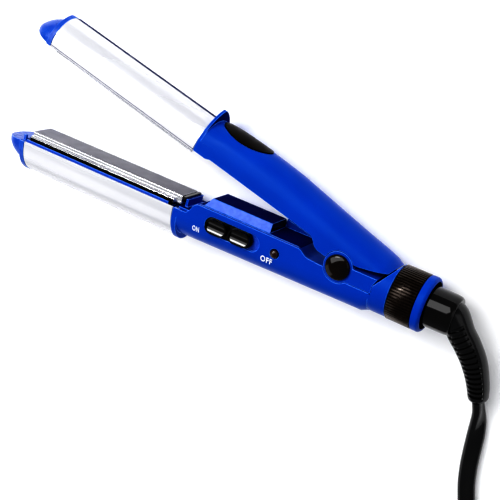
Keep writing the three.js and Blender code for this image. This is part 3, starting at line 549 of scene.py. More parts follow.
# ---- heated half of an arm ----
def barrel(rim, depth, side):
    """Half-round skin; the upper one has painted shade: two dark lines above its rim and a dark strip on its
    back.
    """
    has_painted_shade = side > 0
    outer, inner = [half_section(HALF_WIDTH - skin, rim, depth - skin, BARREL_STRAIGHT, side, 64)
                    for skin in (0, BARREL_SKIN)]
    if has_painted_shade:
        for outline in (outer, inner):
            half = outline[0][1]
            outline[1:1] = [(rim + side * y, half) for y in PAINTED_SHADE_RIM_LINES]
            outline[-1:-1] = [(rim + side * y, -half) for y in PAINTED_SHADE_RIM_LINES[::-1]]
    ring = outer + inner[::-1]
    shape = bmesh.new()
    ends = [[shape.verts.new((x, y, z)) for y, z in ring] for x in (BARREL_FRONT, BARREL_REAR)]
    count = len(ring)
    for k in range(count):
        n = (k + 1) % count
        shape.faces.new((ends[0][k], ends[0][n], ends[1][n], ends[1][k]))
    for loop in ends:
        for k in range(count // 2 - 1):
            shape.faces.new((loop[k], loop[k + 1], loop[count - 2 - k], loop[count - 1 - k]))
    mesh = done(shape)
    for polygon in mesh.polygons:
        # painted shade: dark lines above the rim and a dark strip on the back of the upper barrel
        height = side * (polygon.center.y - rim)
        on_painted_shade_line = height < PAINTED_SHADE_RIM_LINES[0] or PAINTED_SHADE_RIM_LINES[1] < height < PAINTED_SHADE_RIM_LINES[2]
        on_painted_shade_strip = PAINTED_SHADE_BACK_STRIP[0] < polygon.center.z < PAINTED_SHADE_BACK_STRIP[1] and polygon.normal.y > 0.5
        polygon.material_index = 1 if has_painted_shade and (on_painted_shade_strip or on_painted_shade_line) else 0
    return mesh


def bar_along(outline, x0, x1):
    """Straight bar along X with a (z, y) outline."""
    return loft([(x, [(y, z) for z, y in outline]) for x in (x0, x1)])


def plate(face, foot, side):
    """Plate with a grey working face (first look), polished flanks (second) and a black foot (third)."""
    out = -side
    corner = 0.45
    shoulder = face - out * 2.1
    near = [(PLATE_HALF - corner, face), (PLATE_HALF, face - out * corner), (PLATE_HALF, shoulder),
            (PLATE_FOOT_HALF - 0.5, shoulder - out * 0.35), (PLATE_FOOT_HALF, shoulder - out * 0.9),
            (PLATE_FOOT_HALF, foot)]
    foot_rear = BARREL_REAR - 2.2
    mesh = bar_along(near + [(-z, y) for z, y in near[::-1]], BARREL_FRONT + 1, foot_rear)
    if side < 0:
        over_guard = near[:3] + [(PLATE_HALF, LOWER_RIM + 0.7)]
        outline = over_guard + [(-z, y) for z, y in over_guard[::-1]]
        mesh = join(mesh, bar_along(outline, foot_rear - 0.5, PLATE_REAR))
    for polygon in mesh.polygons:
        on_face = polygon.normal.y * out > 0.9 and abs(polygon.center.y - face) < 0.1
        on_foot = abs(polygon.center.z) > PLATE_FOOT_HALF - 0.1
        polygon.material_index = 0 if on_face else (2 if on_foot else 1)
    return mesh


def plate_stop():
    """Black block behind the lower plate, over the guard, with a leg below."""
    x0, x1 = PLATE_REAR + GAP, -87.6
    top = block(x0, x1, 2.2, 3.9, -PLATE_HALF - 0.2, PLATE_HALF + 0.2)
    return join(top, block(x0, x1, -0.3, 2.4, -2.5, 2.5))


def tray(rim, side, proud):
    """Carrier round the plate: blue lip first, black well as painted shade of its depth second, dark blue
    painted shade on top of the lip third.
    """
    half = HALF_WIDTH - BARREL_SKIN - GAP
    well_half = PLATE_FOOT_HALF + 0.9
    lip, back = rim - side * proud, rim + side * 3.6
    x0, x1 = BARREL_FRONT + 0.2, BARREL_REAR - 0.6
    body = block(x0, x1, min(lip, back), max(lip, back), -half, half)
    if proud > 0:
        body = cut(body, block(BARREL_REAR - 4, BARREL_REAR + 4, rim - 0.9, lip + 1, -half - 1, half + 1))
    well_low, well_high = sorted((rim + side * 2.2, rim - side * 2))
    mesh = cut(body, block(x0 + 0.4, x1 - 1.2, well_low, well_high, -well_half, well_half))
    # painted shade: black inside the well, dark blue on the lip's top
    for polygon in mesh.polygons:
        inside = abs(polygon.center.z) < well_half + 0.1 and x0 + 0.3 < polygon.center.x < x1 - 1
        on_painted_shade_top = polygon.normal.y * side < -0.9
        polygon.material_index = 1 if inside else (2 if on_painted_shade_top else 0)
    return mesh


def tip(rim, depth, side):
    """Nose cap: a thin flange, a blunt nose and a slot for the plate's end; the lower one has two nubs."""
    half = HALF_WIDTH + 0.2
    nose_length, steps = 13.6, 24
    x0 = BARREL_FRONT - GAP
    flange_end = x0 - 2.6
    narrow = 1.3 if side > 0 else 1
    outline = narrowed(half_section(half, rim, depth + 0.2, BARREL_STRAIGHT, side, 48), half, narrow)
    flange = loft([(flange_end, outline), (x0, outline)])
    root = flange_end + 0.4
    rings = []
    for i in range(steps + 1):
        t = math.sin(math.pi / 2 * i / steps)
        width = (HALF_WIDTH - 0.6) * math.sqrt(1 - (0.985 * t) ** 2.05)
        fall = max(depth * 0.8 * math.sqrt(1 - (0.97 * t) ** 2) * (1 - 0.35 * t), 1)
        section = half_section(width, rim + side * 1.6 * t, fall, fall * 0.2, side, 36)
        rings.append((root - nose_length * t, narrowed(section, width, narrow)))
    mesh = join(flange, loft(rings[::-1]))
    low, high = sorted((rim + side * 2.2, rim - side * 1))
    mesh = cut(mesh, block(x0 - 1.1, x0 + 1, low, high, -9.6, 9.6))
    if side > 0:
        return mesh
    spans = ((8.1, 9.9), (-9.9, -8.1))
    return join(mesh, *(block(x0 - 2.5, x0 - 1.1, rim - 0.5, rim + 2.9, z0, z1) for z0, z1 in spans))


# ---- lower handle ----
BODY_TOP = SEAM_Y + 3
LOWER_BACK = [(HANDLE_FRONT, -16.7), (14, -14.7), (17.5, -13)]


def stations(x0, x1, step, knots=()):
    """Evenly spaced places along X, with the knots between them."""
    count = max(1, round((x1 - x0) / step))
    inside = {x0 + (x1 - x0) * i / count for i in range(count + 1)} | {k for k in knots if x0 < k < x1}
    return sorted(inside)


def lower_body(inset, x0, x1, step):
    rings = []
    for x in stations(x0, x1, step, (14,)):
        depth = BODY_TOP - value_at(LOWER_BACK, x) - inset
        rings.append((x, half_section(HALF_WIDTH - inset, BODY_TOP, depth, 0.467 * depth, -1, 48)))
    return loft(rings)


def above_seam():
    """All that lies above the lower housing's edge, to be cut away."""
    outline = [(-100, LOWER_RIM), (-84.2, LOWER_RIM)]
    outline += bezier((-84.2, LOWER_RIM), (-81, LOWER_RIM), (-81, SEAM_Y), (-77, SEAM_Y), 16)
    outline.append((-21.3, SEAM_Y))
    outline += bezier((-21.3, SEAM_Y), (-19, SEAM_Y), (-18, 2), (-14.5, 1.9), 16)
    outline.append((-7.6, 1.5))
    outline += arc(0, HINGE_Y, EAR_RADIUS + GAP, math.pi + 0.34, math.pi * 2 - 0.85, 30)
    outline += [(5.6, -1.7), (18.3, -1.7), (18.3, 2.4), (26.2, 13.3), (30, 20), (30, 30), (-100, 30)]
    return prism(outline, -30, 30)


def stadium(x, y, length, width, count=14):
    r, reach = width / 2, (length - width) / 2
    right = arc(x + reach, y, r, -math.pi / 2, math.pi / 2, count)
    return right + arc(x - reach, y, r, math.pi / 2, math.pi * 1.5, count)


def guard(rim, depth, straight, side, narrow=1.0, end=HANDLE_FRONT + 0.4):
    """Flange between the barrel and the handle."""
    half_width = HALF_WIDTH + 0.02
    outline = narrowed(half_section(half_width, rim, depth, straight, side, 48), half_width, narrow)
    return loft([(BARREL_REAR + GAP, outline), (end, outline)])


def lower_handle():
    radius, start, end = 12.9, COLLAR_X - GAP, COLLAR_X + COLLAR_LENGTH
    neck = turned([(16, 0), (16, 12.2), (18.5, radius), (start, radius), (start, SPIGOT_RADIUS),
                   (end, SPIGOT_RADIUS), (end, 0)], 120)
    body = cut(join(lower_body(0, HANDLE_FRONT, 17.5, 5), neck), above_seam())
    body = join(body, guard(LOWER_RIM, LOWER_DEPTH + 0.9, 3, -1))
    pocket = lower_body(WALL, BARREL_REAR - 2, 15, 12)
    slot = prism(stadium(SLOT_X, SLOT_Y, SLOT_LENGTH, SLOT_WIDTH), SLOT_FLOOR, 20)
    r = LENS_RADIUS + GAP
    hole = turned_up(LENS_X, LENS_Y, [(0, 9.5), (r, 9.5), (r, 20), (0, 20)], 48)
    return cut(body, pocket, slot, hole)


def cover_floor():
    """Thin sheet that follows the housing's edge and dips under the upper arm's hinge."""
    half = HALF_WIDTH - WALL - GAP
    outline = [(-88.8, -0.6), (-83, -0.6)]
    outline += bezier((-83, -0.6), (-80, -0.6), (-80.5, SEAM_Y), (-76.5, SEAM_Y), 14)
    outline.append((-22.5, SEAM_Y))
    outline += bezier((-22.5, SEAM_Y), (-19.5, SEAM_Y), (-19, 1.3), (-15.5, 1.1), 14)
    outline.append((-9, 0.9))
    outline += arc(0, HINGE_Y, EAR_RADIUS + GAP, math.pi + 0.44, math.pi * 2 - 0.5, 24)
    outline += [(9, 1.5), (9, -1.2)]
    outline += arc(0, HINGE_Y, EAR_RADIUS + 2, math.pi * 2 - 0.72, math.pi + 0.55, 20)
    outline.append((-15.8, -0.7))
    outline += bezier((-15.8, -0.7), (-20.5, -0.5), (-20.5, 3.2), (-24, 3.2), 12)
    outline.append((-75.5, 3.2))
    outline += bezier((-75.5, 3.2), (-79, 3.2), (-78.8, -2.2), (-82.4, -2.2), 12)
    outline.append((-88.8, -2.2))
    return common(prism(outline, -half, half), lower_body(WALL + GAP, -91, 15, 12))


def raised_block():
    """Block on the cover with sloping sides and ends."""
    slopes = [bar_along([(s * 9.5, SEAM_Y), (s * 14, SEAM_Y), (s * 14, 12), (s * 5.2, 12)], -90, -20)
              for s in (1, -1)]
    return cut(prism([(-76, 4), (-73, 9), (-39, 9), (-38, 4)], -9.4, 9.4), *slopes)


def heel():
    """Slab behind the ears, with its rear corners cut off."""
    slab = prism([(8.2, -1.4), (18, -1.4), (18, 2.3), (19.6, 5.9), (8.2, 5.9)], -HALF_WIDTH, HALF_WIDTH)
    swap_y_z = Matrix(((1, 0, 0, 0), (0, 0, 1, 0), (0, 1, 0, 0), (0, 0, 0, 1)))
    chamfers = []
    for sign in (1, -1):
        wedge = prism([(17.4, sign * 12.5), (21, sign * 12.5), (21, sign * 8.6)], -3, 7)
        wedge.transform(swap_y_z)
        chamfers.append(wedge)
    return cut(slab, *chamfers)


def lower_cover():
    """Inner cover: blue; dark blue painted shade on its upward faces second; black painted shade on the
    block's rear face third; painted highlight on its bevels fourth; painted light on its sloping sides
    fifth.
    """
    ear = [(9, -1.4), (9, 5.9), (7.2, 5.9)] + arc(0, HINGE_Y, EAR_RADIUS, 0.246, math.pi * 2 - 0.84, 60)
    ears = [prism(ear, EAR_INNER, HALF_WIDTH), prism(ear, -HALF_WIDTH, -EAR_INNER)]
    far_rib = prism([(-38.4, 4), (-38.4, 9), (-33, 7.8), (-27, 6.4), (-23.5, 4.9), (-23.5, 4)], -10.1, -7)
    catch = block(-87.3, -86, -0.9, 3.3, -PLATE_HALF, PLATE_HALF)
    slots = [block(-85.5, -83.6, -5, 2, z0, z1) for z0, z1 in ((1.5, 8), (-8, -1.5))]
    mesh = cut(join(cover_floor(), raised_block(), far_rib, catch, *ears, heel()), *slots)
    for polygon in mesh.polygons:
        middle = polygon.center
        on_block = -77 < middle.x < -37 and middle.y > SEAM_Y
        # painted shade: black on the block's rear face, dark blue on upward faces; painted light on the
        # sloping sides
        if on_block and polygon.normal.x > 0.9:
            polygon.material_index = 2
        elif on_block and 0.2 < polygon.normal.y < 0.9 and abs(polygon.normal.z) > 0.3:
            polygon.material_index = 4
        else:
            polygon.material_index = 1 if polygon.normal.y > 0.9 and middle.x < -20 else 0
    return mesh


def domed(radius, low, edge, height, steps):
    """[radius, z] points of a disc from low to edge with a dome of that height on it."""
    angles = [math.pi / 2 * i / steps for i in range(steps)]
    dome = [(radius * math.cos(a), edge + height * math.sin(a)) for a in angles]
    return [(0, low), (radius, low), *dome, (0, edge + height)]


def near_cap():
    return turned_up(0, HINGE_Y, domed(CAP_RADIUS, 12.6, 13.0, 1.9, 20), 96)


def far_cap():
    r, low = CAP_RADIUS, -REST_HEIGHT
    return turned_up(0, HINGE_Y, [(0, low), (r - 0.4, low), (r, -13), (r, -12.6), (0, -12.6)], 96)


def lens_dome():
    return turned_up(LENS_X, LENS_Y, domed(LENS_RADIUS, 9, 12.2, 1.5, 14), 48)


def slider_knob():
    """Two rounded pads on one base; each has a hollow with a flat facet that catches the strip light."""
    x, y = SLOT_X - SLIDE_TRAVEL / 2, SLOT_Y
    length = SLOT_LENGTH - 2 * GAP - SLIDE_TRAVEL
    base = prism(stadium(x, y, length, SLOT_WIDTH - 2 * GAP, 20), SLOT_FLOOR + GAP, 11.9)
    centres = (x - PAD_OFFSET, x + PAD_OFFSET)
    pads = [prism(stadium(centre, y, 12.2, 7.3, 20), 11, 14) for centre in centres]
    bowl_radius, bowl_half, bowl_floor = 4.6, 5.5, 12.95
    facet = (23.5, 33.7)
    degrees = (-90, -60, -45, -33, -22, -11, 0, 11, 22, *facet, 37, 47, 60, 90, 130, 180, 230)
    tilts = [math.radians(t) for t in degrees]
    section = [(-bowl_radius * math.cos(t), -bowl_radius * math.sin(t)) for t in tilts]
    dishes = []
    for centre in centres:
        bowl = bar_along(section, -bowl_half, bowl_half)
        bowl.transform(Matrix.Translation((centre, y, bowl_floor + bowl_radius)))
        dishes.append(common(bowl, prism(stadium(centre, y, 10.6, 5.9, 20), 12, 20)))
    return cut(join(base, *pads), *dishes)


def label(text, place, size, narrowing):
    """Raised white letters that lie on the handle's curved side."""
    tilt = math.radians(15.9)
    curve = bpy.data.curves.new(text, "FONT")
    curve.body = text
    curve.size = size
    curve.align_x = curve.align_y = "CENTER"
    curve.extrude = 0.09
    curve.offset = 0.07
    curve.space_character = 1.12
    source = linked(text, curve)
    mesh = bpy.data.meshes.new_from_object(source.evaluated_get(bpy.context.evaluated_depsgraph_get()))
    bpy.data.objects.remove(source)
    narrow = Matrix.Diagonal((narrowing, 1, 1, 1))
    mesh.transform(Matrix.Translation(place) @ Matrix.Rotation(tilt, 4, "X") @ narrow)
    return piece(f"label_{text.lower()}", mesh, LOWER_ARM, "ink", bevel=0)


# ---- collar and swivel ----
def lock_ring():
    """Ring with scooped ribs on its outside and a plain bore."""
    step = 2 * math.pi / COLLAR_RIBS
    rib_depth, rib_sharpness, ease = 0.75, 0.8, 0.35

    def ribbed(angle, x, radius):
        if radius < COLLAR_RADIUS - 0.8:
            return radius
        part = (angle / step) % 1
        return radius - rib_depth * max(0.0, math.cos(2 * math.pi * part)) ** rib_sharpness

    x0, x1 = COLLAR_X, COLLAR_X + COLLAR_LENGTH
    bore, eased = SPIGOT_RADIUS + GAP, COLLAR_RADIUS - ease
    profile = [(x0, bore), (x0, eased), (x0 + ease, COLLAR_RADIUS), (x1 - ease, COLLAR_RADIUS), (x1, eased),
               (x1, bore)]
    return turned(profile, COLLAR_RIBS * 12, ribbed)


def rear_ring():
    """Thin blue ring with a dish round the swivel; the dish is coloured black as painted shade (second
    look).
    """
    x, hole, dish = RING_X, 7.4, SWIVEL_RADIUS + 1.6
    end, bottom = x + 4.3, x + 1.2
    mesh = turned([(x, hole), (x, COLLAR_RADIUS), (end - 1, COLLAR_RADIUS), (end, COLLAR_RADIUS - 1),
                   (end, dish), (bottom, dish), (bottom, hole)], 128)
    # painted shade: black on the dish's faces
    for polygon in mesh.polygons:
        polygon.material_index = 1 if math.hypot(polygon.center.y, polygon.center.z) < dish + 0.05 else 0
    return mesh


def swivel():
    """Neck with a flange inside the handle, which holds it in."""
    x, bore, stem, flange = RING_X + 1.5, 3.2, 6.5, 9
    return turned([(20, bore), (20, flange), (27.7, flange), (27.7, stem), (x, stem), (x, SWIVEL_RADIUS),
                   (SWIVEL_END - 3, 9.6), (SWIVEL_END - 1, 9.3), (SWIVEL_END, 8.6), (SWIVEL_END, bore)], 96)


# ---- upper handle, drawn with the arms closed ----
UPPER_BACK = [(-91, 24), (-76, 25.5), (-45, 25.3), (-24, 23.3), (-2, 21), (17, 19.1), (22, 17.2)]
UPPER_BASE = 4.4
UPPER_END = 22


def upper_body(inset, x0, x1, step, lift=0.0):
    rings = []
    for x in stations(x0, x1, step, (17,)):
        depth = smooth_value(UPPER_BACK, x) + lift - UPPER_BASE - inset
        rings.append((x, half_section(HALF_WIDTH - inset, UPPER_BASE, depth, 0.4 * depth, 1, 56)))
    return loft(rings)


def below_edge():
    """All that lies below the upper housing's edge, to be cut away."""
    edge, front = 8.9, UPPER_RIM + 0.5
    outline = [(-100, front), (-84, front)]
    outline += bezier((-84, front), (-82, front), (-81.5, edge + 0.2), (-80.4, edge + 0.3), 10)
    outline.append((-20.5, edge))
    outline += bezier((-20.5, edge), (-15.5, edge), (-16.6, UPPER_BASE + 0.2), (-11.5, UPPER_BASE + 0.2), 18)
    outline += arc(0, HINGE_Y, EAR_RADIUS + GAP, math.pi - 0.06, 0.75, 36)
    outline += [(7.4, 9.7), (20.9, 14.7), (22.3, 18.4), (30, 18.4), (30, -30), (-100, -30)]
    return prism(outline, -30, 30)


def pad_column(grow):
    """Upright column with the thumb pad's oval outline."""
    centre, half_length, half_width, count = -72.5, 14.5 + grow, 7 + grow, 64
    angles = [2 * math.pi * i / count for i in range(count)]
    oval = [(centre + half_length * math.cos(a), half_width * math.sin(a)) for a in angles]
    mesh = prism(oval, 10, 40)
    mesh.transform(Matrix.Rotation(-math.pi / 2, 4, "X"))
    return mesh


def upper_handle():
    """Housing with its disc guard, whose rear face has dark blue painted shade (second look)."""
    disc_end = BARREL_REAR + 1.8
    disc = guard(UPPER_RIM, 22, 4, 1, 1.45, disc_end)
    body = join(upper_body(0, disc_end - 0.3, UPPER_END, 4), disc)
    recess = cut(pad_column(0), upper_body(1, -97, -50, 6))
    mesh = cut(body, upper_body(WALL, BARREL_REAR - 2, UPPER_END - 2.5, 10), below_edge(), recess)
    for polygon in mesh.polygons:
        # painted shade: dark blue on the disc guard's rear face
        painted_shade_behind_disc = abs(polygon.center.x - disc_end) < 0.2 and polygon.normal.x > 0.7
        polygon.material_index = 1 if painted_shade_behind_disc else 0
    return mesh


def thumb_pad():
    raised = common(pad_column(-0.15), upper_body(0, -97, -50, 3, lift=0.5))
    return cut(raised, upper_body(0.6, -98, -49, 6))


def upper_cover():
    half = HALF_WIDTH - WALL - 0.12
    return join(block(-84, -14, 10.6, 12.2, -half, half), block(-84, -82.4, 11, 16, -4, 4))


# ---- cord set ----
BOOT_PATH = [(51.5, 0, 0), (54.4, -0.5, 0), (57.3, -3, 0), (60.6, -6.9, -0.4), (64.5, -11.1, -1.2),
             (69.1, -17.6, -2.8), (73.6, -27.9, -5.5), (75.8, -36, -7.5)]
CORD_ROUTE = [(75.8, -40.1, 5.9), (77.6, -45.6, 4.9), (79, -51.5, 3.9), (79.9, -58.5, 3.1), (80.6, -66, 2.6),
              (81.7, -75, 2.4), (83.6, -84, 2.4), (86.2, -92, 2.4), (89.2, -101, 2.4), (92, -111, 2.4),
              (94.3, -122, 2.7), (96, -134, 3.4), (97.2, -147, 4.3), (97.9, -159, 5.1), (98.1, -166, 5.4),
              (98.3, -180, 5.5)]
PLUG_Y = -247.4
TAIL_HEIGHTS = [(34, 13.2), (27, 11.8), (20, 10.2), (14.5, 8.1), (8.5, 6.6), (4.6, 6.4)]
TAIL_ROUTE = [(x, PLUG_Y, z) for x, z in TAIL_HEIGHTS]
COIL_CENTRE = Vector((48, -197, 0))


def smooth_path(points, spacing):
    """Evenly spaced points on a centripetal Catmull-Rom curve."""
    knots = [Vector(p) for p in points]
    knots = [2 * knots[0] - knots[1], *knots, 2 * knots[-1] - knots[-2]]
    dense = []
    for p0, p1, p2, p3 in zip(knots, knots[1:], knots[2:], knots[3:]):
        t1 = (p1 - p0).length ** 0.5
        t2 = t1 + (p2 - p1).length ** 0.5
        t3 = t2 + (p3 - p2).length ** 0.5
        for i in range(24):
            t = t1 + (t2 - t1) * i / 24
            a1 = p0 * ((t1 - t) / t1) + p1 * (t / t1)
            a2 = p1 * ((t2 - t) / (t2 - t1)) + p2 * ((t - t1) / (t2 - t1))
            a3 = p2 * ((t3 - t) / (t3 - t2)) + p3 * ((t - t2) / (t3 - t2))
            b1 = a1 * ((t2 - t) / t2) + a2 * (t / t2)
            b2 = a2 * ((t3 - t) / (t3 - t1)) + a3 * ((t - t1) / (t3 - t1))
            dense.append(b1 * ((t2 - t) / (t2 - t1)) + b2 * ((t - t1) / (t2 - t1)))
    dense.append(knots[-2])
    return even(dense, spacing)


def even(points, spacing):
    """The same line with its points evenly spaced."""
    lengths = [0.0]
    for a, b in zip(points, points[1:]):
        lengths.append(lengths[-1] + (b - a).length)
    count = max(2, round(lengths[-1] / spacing))
    result, k = [], 0
    for i in range(count + 1):
        goal = lengths[-1] * i / count
        while k < len(lengths) - 2 and lengths[k + 1] < goal:
            k += 1
        part = (goal - lengths[k]) / (lengths[k + 1] - lengths[k])
        result.append(points[k].lerp(points[k + 1], part))
    return result


def coil_points():
    """Turns on edge, clockwise from above: inwards on the table, a climb, then outwards on top."""
    outer, pitch, turns, climb, steps = 50.4, 4.5, 2.425, 0.4, 48
    inner = outer - pitch * turns
    low, high = 5.5, 14.2
    points = []
    total = 2 * turns + climb
    for i in range(round(total * steps) + 1):
        turn = i / steps
        if turn <= turns:
            radius, height = outer - pitch * turn, low
        elif turn <= turns + climb:
            part = (turn - turns) / climb
            radius, height = inner, low + (high - low) * (3 * part**2 - 2 * part**3)
        else:
            radius, height = inner + pitch * (turn - turns - climb), high
        angle = -2 * math.pi * turn
        points.append(COIL_CENTRE + Vector((radius * math.cos(angle), radius * math.sin(angle), height)))
    return points


def sweep(path, outline_at):
    """Tube along a path; outline_at(i) gives the section as offsets along side and up vectors."""
    shape = bmesh.new()
    rings = []
    for i, centre in enumerate(path):
        forward = (path[min(i + 1, len(path) - 1)] - path[max(i - 1, 0)]).normalized()
        side = forward.cross(Vector((0, 0, 1))).normalized()
        up = side.cross(forward)
        rings.append([shape.verts.new(centre + side * a + up * b) for a, b in outline_at(i)])
    return skinned(shape, rings)


def twin_section():
    """Two round cores side by side with a groove between them."""
    r = CORD_THICKNESS / 2
    half = CORD_WIDTH / 2 - r
    right = arc(half, 0, r, -math.pi * 0.62, math.pi * 0.62, 11)
    left = arc(-half, 0, r, math.pi * 0.38, math.pi * 1.62, 11)
    return right + left


def cord_twist(distance):
    """Turn of the cord about its own line: on edge at the boot, flat on the table, on edge in the coil."""
    degrees = [(0, 90), (5, 84), (12, 52), (19, 24), (26, 8), (34, 0), (68, 0), (97, 34), (112, 80),
               (124, 90)]
    return math.radians(smooth_value(degrees, distance))


def make_cord():
    path = even(smooth_path(CORD_ROUTE, 1.5) + coil_points() + smooth_path(TAIL_ROUTE, 1.5), 1.8)
    section = twin_section()
    spacing = (path[1] - path[0]).length

    def outline(i):
        turn = cord_twist(i * spacing)
        c, s = math.cos(turn), math.sin(turn)
        return [(a * c - b * s, a * s + b * c) for a, b in section]

    cord = piece("power_cord", sweep(path, outline), FLOOR_CORD, "boot",
                 ("cord_run", "cord_coil", "cord_tail"), bevel=0, angle=50)
    points = [tuple(p * MM) for p in path]
    length = sum((b - a).length for a, b in zip(path, path[1:])) * MM
    return cord, points, length


def boot():
    """Strain relief that tapers from the swivel to the cord, with two rows of grooves across it."""
    path = smooth_path(BOOT_PATH, 0.3)
    spacing = (path[1] - path[0]).length
    total = spacing * (len(path) - 1)
    radii = [(0, 8.2), (0.1, 7.2), (0.2, 6.5), (0.34, 6.3), (0.57, 6), (0.74, 5.5), (0.94, 4.9),
             (0.975, 4.5), (1, 3.4)]
    pitch, groove_width, groove_depth = 2.6, 1.1, 0.75
    sides, row_turn, row_reach = 96, 1.5, 0.74

    def outline(i):
        along = i * spacing
        radius = smooth_value(radii, along / total)
        in_groove = along > 6 and total - along > 3 and (along - 10) % pitch < groove_width
        points = []
        for k in range(sides):
            angle = 2 * math.pi * k / sides
            in_row = abs(math.cos(angle - row_turn)) > row_reach
            r = radius - (groove_depth if in_groove and in_row else 0)
            points.append((r * math.cos(angle), r * math.sin(angle)))
        return points

    piece("ribbed_boot", sweep(path, outline), SWIVEL, "boot", ("cord_boot",), bevel=0,
          angle=40)


def tie():
    """Strap round the coil's turns, on the side away from the cord's run."""
    x0, x1 = COIL_CENTRE.x - 52.8, COIL_CENTRE.x - 37
    y = COIL_CENTRE.y
    outside = block(x0 - 1.2, x1 + 1.2, y - 4, y + 4, 0.1, 19.8)
    inside = block(x0 - 0.3, x1 + 0.3, y - 6, y + 6, 0.9, 19)
    return piece("coil_strap", cut(outside, inside), FLOOR_CORD, "rubber", ("coil_tie",),
                 bevel=0.35)


def plug():
    """Moulded shell with finger grooves and two flat blades, each with a hole."""
    x, y, low, high = 4.1, PLUG_Y, 0.2, 12.6
    middle = (low + high) / 2
    half = [(x, y + 4.6), (x - 9, y + 5.4), (x - 13, y + 8.6), (x - 17, y + 11), (x - 29, y + 11),
            (x - 31, y + 9)]
    mirrored = [(px, 2 * y - py) for px, py in half][::-1]
    body = prism(half + mirrored, low, high)
    starts = [x - 27 + 3 * i for i in range(4)]
    grips = [block(start, start + 1.4, y - 7, y + 7, high - 0.6, high + 1) for start in starts]
    pieces = [piece("plug_shell", cut(body, *grips), FLOOR_CORD, "rubber", ("plug_body",),
                    bevel=1.2, segments=4)]
    for name, offset, half_height in (("narrow", 6.35, 3.2), ("wide", -6.35, 3.95)):
        centre, bottom, top = y + offset, middle - half_height, middle + half_height
        blade = block(x - 47.3, x - 31.3, centre - 0.75, centre + 0.75, bottom, top)
        hole = prism(arc(x - 44, 0, 1.5, 0, 2 * math.pi * 23 / 24, 23), -2, 2)
        hole.transform(Matrix.Translation((0, centre, middle)) @ Matrix.Rotation(math.pi / 2, 4, "X"))
        pieces.append(piece(f"blade_{name}", cut(blade, hole), FLOOR_CORD, "brass",
                            (f"plug_blade_{name}",), bevel=0.3))
    return pieces


# ---- assembly ----
def heated_half(arm, rim, depth, face, side, proud, seat):
    foot = rim + side * 1.7
    piece(f"{arm}_barrel_shell", barrel(rim, depth, side), seat, ("barrel", "strip"),
          (f"{arm}_barrel",), bevel=0.2)
    piece(f"{arm}_plate_bar", plate(face, foot, side), seat, ("plate", "flank", "black"),
          (f"{arm}_plate",), bevel=0.12, segments=2, angle=20)
    piece(f"{arm}_tray", tray(rim, side, proud), seat, ("blue", "black", "painted_shade_navy", "rim"),
          (f"{arm}_plate_carrier",), bevel=0.2, painted_highlight_look=3)
    piece(f"{arm}_tip", tip(rim, depth, side), seat, ("mottled", "rim"), (f"{arm}_tip_cap",),
          bevel=0.2, segments=2, angle=28, painted_highlight_look=1, clamp=False)


def make_lower_arm():
    heated_half("lower", LOWER_RIM, LOWER_DEPTH, PLATE_FACE, -1, 1.2, LOWER_ARM)
    piece("plate_rear_stop", plate_stop(), LOWER_ARM, "black", ("plate_stop",), bevel=0.3)
    piece("lower_handle", lower_handle(), LOWER_ARM, ("blue", "rim"), ("lower_housing",),
          bevel=0.22, segments=2, painted_highlight_look=1, clamp=False)
    slot_floor = block(-74, -38.5, -7.6, 2.9, 8.8, SLOT_FLOOR)
    piece("slot_floor", slot_floor, LOWER_ARM, "blue")
    piece("lower_inner_cover", lower_cover(), LOWER_ARM, ("blue", "painted_shade_navy", "black", "rim", "painted_light_slope"),
          ("lower_cover",), bevel=0.22, segments=2, painted_highlight_look=3, clamp=False)
    piece("pivot_cap", near_cap(), LOWER_ARM, "cap", ("hinge_cap_near",), bevel=0)
    piece("pivot_foot", far_cap(), LOWER_ARM, "black", ("hinge_cap_far",), bevel=0.15)
    piece("lamp_lens", lens_dome(), LOWER_ARM, "lens", ("indicator_lens",), bevel=0)
    piece("rear_blue_ring", rear_ring(), LOWER_ARM, ("blue", "black"), ("rear_ring",),
          bevel=0.4)
    label("ON", (-76, -7.5, 11.72), 4.1, 0.6)
    label("OFF", (-35.5, -7.4, 11.75), 4.4, 0.78)
    piece("slider_knob", slider_knob(), SWITCH, "black", ("switch_slider",), bevel=0.5,
          segments=4)
    piece("ribbed_ring", lock_ring(), RING, "ribbed", ("lock_ring",), bevel=0, angle=60)
    piece("swivel_neck", swivel(), SWIVEL, "black", ("swivel_body",), bevel=0.3)


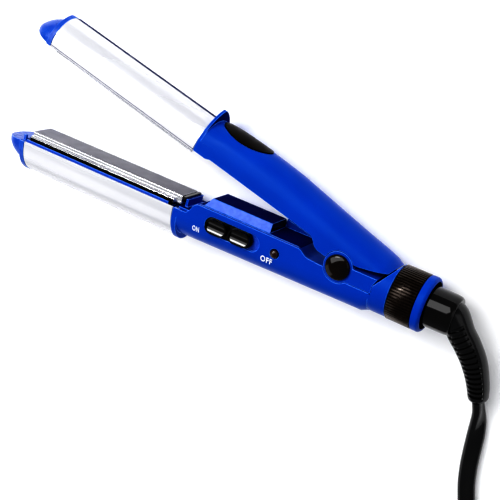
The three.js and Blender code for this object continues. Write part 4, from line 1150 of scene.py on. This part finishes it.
def make_upper_arm():
    heated_half("upper", UPPER_RIM, UPPER_DEPTH, PLATE_FACE + GAP, 1, -1.6, UPPER_ARM)
    piece("upper_handle", upper_handle(), UPPER_ARM, ("blue", "painted_shade_navy", "rim"),
          ("upper_housing",), bevel=0.2, segments=2, painted_highlight_look=2, clamp=False)
    # painted shade: the upper inner cover is black for the shade between the arms
    piece("upper_inner_cover", upper_cover(), UPPER_ARM, "black", ("upper_cover",))
    piece("thumb_rest", thumb_pad(), UPPER_ARM, "pad", ("thumb_pad",), bevel=0.35)


def dress_cad_nodes():
    """Better materials for the CAD nodes that stay."""
    finishes = {
        "steel": ("hinge_pin", "opening_spring", "lower_heater_clip", "upper_heater_clip",
                  "lower_front_screw", "lower_rear_screw", "upper_front_screw", "upper_rear_screw"),
        "ceramic": ("lower_heater", "upper_heater", "thermal_fuse"),
        "black": ("switch_body",),
        "lamp": ("indicator_lamp",),
        "board": ("indicator_board",),
        "sleeve": ("supply_leads", "lower_heater_leads", "upper_heater_leads"),
    }
    for look, nodes in finishes.items():
        for node in nodes:
            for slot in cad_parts[node].material_slots:
                slot.material = LOOKS[look]


def make_stage():
    """White floor, the key light, a strip light mirrored in the switch pads, and two weak fill lights."""
    reach = 12
    corners = [(-reach, -reach, 0), (reach, -reach, 0), (reach, reach, 0), (-reach, reach, 0)]
    mesh = bpy.data.meshes.new("floor")
    mesh.from_pydata(corners, [], [(0, 1, 2, 3)])
    mesh.materials.append(LOOKS["floor"])
    linked("floor", mesh)
    make_world()
    middle = Vector((-0.07, 0, 0.0134))
    slider = Vector((-0.058, -0.0064, 0.0262))
    area_light("key", middle + Vector((-0.45, 0.5, 1.15)), middle, (1.8, 0.8), 10.8)
    area_light("strip", slider + Vector((-0.53, 0.657, 0.949)), slider, (0.5, 0.12), 3)
    area_light("side", middle + Vector((1.1, 0.5, 0.75)), middle, (0.8, 0.8), 0.8)
    area_light("front", middle + Vector((-0.9, -0.9, 0.6)), middle, (0.8, 0.8), 1.5)


def main():
    make_camera()
    cord, points, length = make_cord()
    plug_pieces = plug()
    strap = tie()
    boot()
    make_lower_arm()
    make_upper_arm()
    dress_cad_nodes()
    make_stage()


main()
